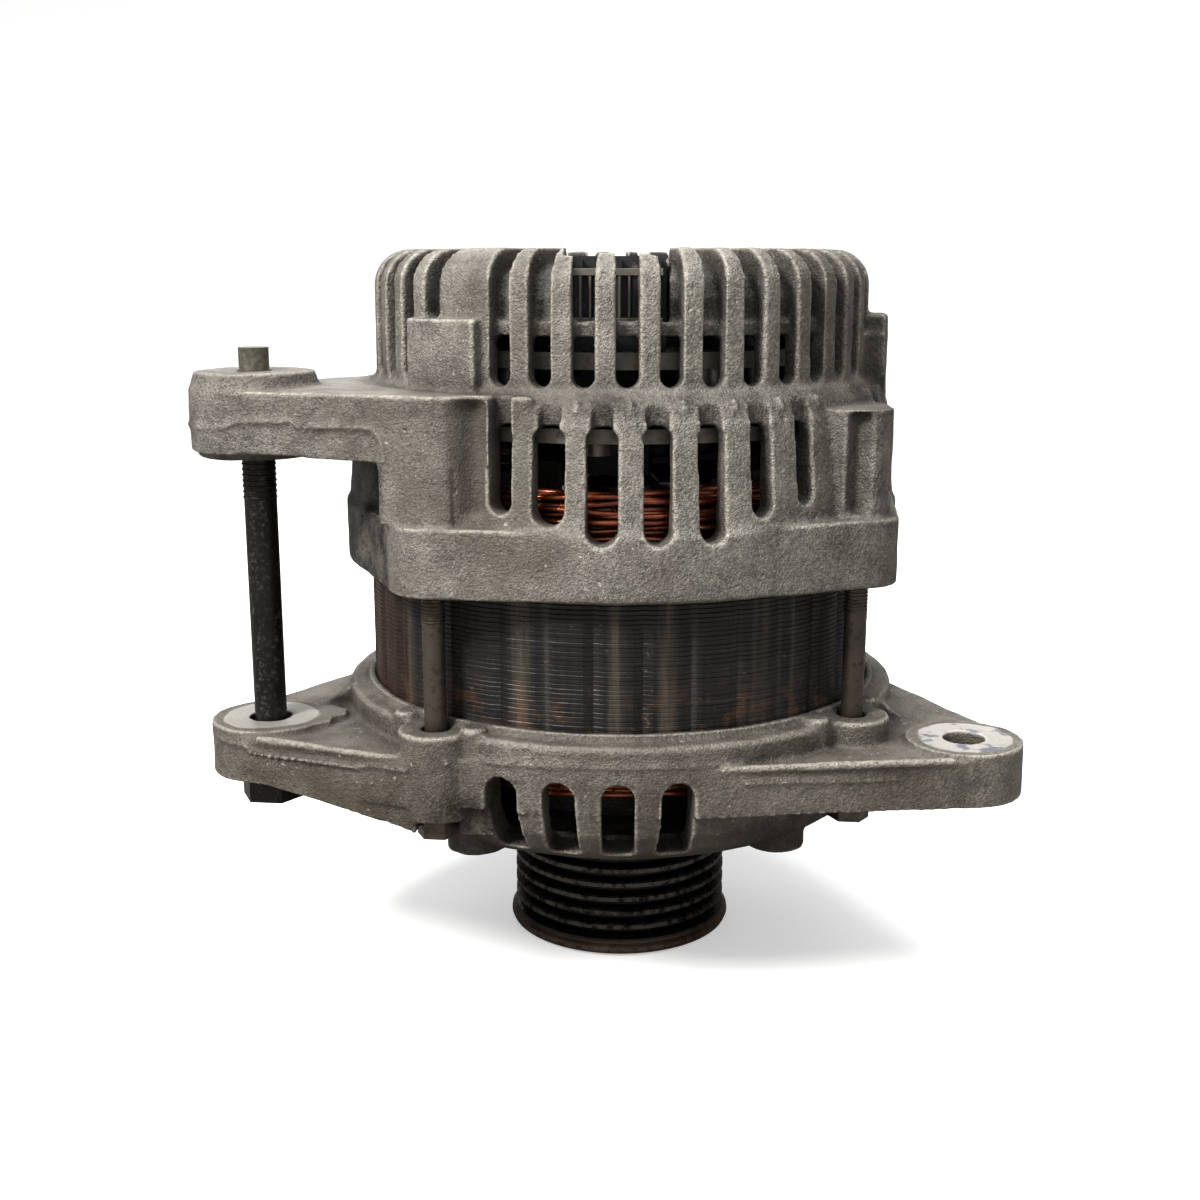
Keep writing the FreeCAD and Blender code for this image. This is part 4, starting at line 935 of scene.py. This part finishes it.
def slot_loops(bm, draw):
    """Wires that leave the slots and lean over into the crowns, above and below."""
    for i in range(LOOP_COUNT):
        angle = i * (360.0 / LOOP_COUNT) + draw.uniform(-1.8, 1.8)
        lean = draw.choice([-1, 1]) * draw.uniform(5, 16)
        top = draw.uniform(96.5, 101)
        bottom = draw.uniform(34.5, 38)
        for start, end, radius_at in ((83.8, top, upper_loop_radius),
                                      (49.3, bottom, lower_loop_radius)):
            path = []
            for j in range(LOOP_POINTS):
                t = j / (LOOP_POINTS - 1)
                path.append(at(radius_at(t), angle + lean * t ** 1.4, start + (end - start) * t))
            tube(bm, path, LOOP_WIRE * MM, sides=7)


def end_turn_wires():
    draw = random.Random(11)
    bm = bmesh.new()
    crown(bm, draw, UPPER_CROWN, rows=12)
    crown(bm, draw, LOWER_CROWN, rows=9)
    slot_loops(bm, draw)
    mesh = to_mesh(bm, "end_turn_wires")

    # inner mass of the bundles from the CAD solid, drawn in slightly behind the wires
    mass = bmesh.new()
    mass.from_mesh(nodes["stator_winding"].data)
    for v in mass.verts:
        radius = math.hypot(v.co.x, v.co.y)
        outside_core = v.co.z > 84.2 * MM or v.co.z < 48.8 * MM
        if outside_core and radius > 50.5 * MM:
            scale = (radius - 1.2 * MM) / radius
            v.co.x *= scale
            v.co.y *= scale
        if v.co.z > 97.0 * MM:
            v.co.z -= 3.6 * MM
        if v.co.z < 36.0 * MM:
            v.co.z += 1.0 * MM
    append_mesh(mass, mesh, target=mesh)
    obj = add_object("end_turn_wires", mesh, "copper_enamel")
    smooth_shade(obj)
    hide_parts("stator_winding")
    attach(obj, "housing")


end_turn_wires()

# ---------------------------------------------------------------- edges of the visible CAD pieces
for obj in nodes.values():
    if obj.hide_render:
        continue
    bevel = obj.modifiers.new("edges", "BEVEL")
    bevel.width = 0.00022
    bevel.segments = 2
    bevel.limit_method = "ANGLE"
    bevel.angle_limit = math.radians(35)
    bevel.harden_normals = False

# ---------------------------------------------------------------- floor (metres)
FLOOR_Z = CAD_BOX[0][2] - 0.0002
FLOOR_HALF_WIDTH = 4.0
SWEEP_START, SWEEP_RADIUS = 0.9, 0.8       # y where the sheet starts to rise, and its bend


def floor_material():
    """Bright to the camera, dark grey to every other ray."""
    m = Material("m_floor")
    cloud = m.noise(scale=3, detail=3, rough=0.5).fade(over=(0.3, 0.7))
    m.base = m.mix(cloud, (0.88, 0.88, 0.88), (0.90, 0.90, 0.895))
    material = m.finish({
        "Roughness": 0.9, "Specular IOR Level": 0.0,
        "Emission Color": (1, 1, 1), "Emission Strength": 0.42})
    seen = m.field("Is Camera Ray", "LightPath")
    dark = m.field(0, "BsdfDiffuse", {0: (0.22, 0.21, 0.20)})
    bright = Field(m, m.shader.outputs[0])
    m.plug(m.output, {0: m.field(0, "MixShader", {0: seen, 1: dark, 2: bright})})
    return material


def add_floor():
    """Seamless sheet: flat under the part, rising behind it in one sweep."""
    bend = [math.radians(7.5 * k) for k in range(1, 13)]
    profile = [(-3.0, 0.0), (-1.0, 0.0), (0.0, 0.0), (SWEEP_START, 0.0)]
    profile += [(SWEEP_START + SWEEP_RADIUS * math.sin(a), SWEEP_RADIUS - SWEEP_RADIUS * math.cos(a))
                for a in bend]
    profile.append((1.7, 3.2))
    count = len(profile)
    verts = [(x, y, FLOOR_Z + z) for x in (-FLOOR_HALF_WIDTH, FLOOR_HALF_WIDTH)
             for y, z in profile]
    faces = [(k, k + count, k + count + 1, k + 1) for k in range(count - 1)]
    mesh = bpy.data.meshes.new("floor")
    mesh.from_pydata(verts, [], faces)
    floor = add_object("floor", mesh)
    smooth_shade(floor)
    mesh.materials.append(floor_material())


add_floor()


# ---------------------------------------------------------------- world, lights, camera (metres)
def studio_world():
    """Grey gradient, darker below, that the camera sees as plain white."""
    world = bpy.data.worlds.new("studio")
    bpy.context.scene.world = world
    world.use_nodes = True
    g = Graph(world.node_tree)
    height = g.split(g.field("Generated", "TexCoord"))[2]
    sky = g.ramp(g.math("MULTIPLY_ADD", height, 0.5, 0.5), [
        (0.0, (0.10, 0.10, 0.10)), (0.5, (0.34, 0.34, 0.35)), (1.0, (1.0, 1.0, 1.0))])
    seen = g.field("Is Camera Ray", "LightPath")
    color = g.mix(seen, sky, (1.0, 1.0, 1.0))
    g.plug(g.tree.nodes["Background"], {0: color, 1: 1.0})


def area_light(name, location, target, size, power, color=(1, 1, 1)):
    light = bpy.data.lights.new(name, "AREA")
    light.shape = "DISK"
    light.size = size
    light.energy = power
    light.color = color
    obj = add_object(name, light)
    obj.location = location
    aim = Vector(target) - Vector(location)
    obj.rotation_euler = aim.to_track_quat("-Z", "Y").to_euler()


def add_camera():
    lens = bpy.data.cameras.new("camera")
    lens.lens = 45
    lens.sensor_width = 36
    lens.clip_start = 0.01
    camera = add_object("camera", lens)
    camera.location = (0.0338, -0.3590, 0.1475)
    camera.rotation_euler = (math.radians(77.5), 0, math.radians(6.17))
    bpy.context.scene.camera = camera


studio_world()
area_light("key", location=(-0.42, -0.52, 0.68), target=(0, 0, 0.08), size=0.24, power=10.5,
           color=(1.0, 0.985, 0.955))
area_light("fill", location=(0.60, -0.55, 0.30), target=(0, 0, 0.06), size=0.5, power=0.25,
           color=(0.95, 0.97, 1.0))
area_light("top", location=(0.05, 0.05, 0.9), target=(0, 0, 0.08), size=0.45, power=6.0)
area_light("back", location=(-0.2, 0.8, 0.6), target=(0, 0, 0.08), size=0.5, power=2.5)
add_camera()
bpy.context.scene.view_settings.view_transform = "Standard"
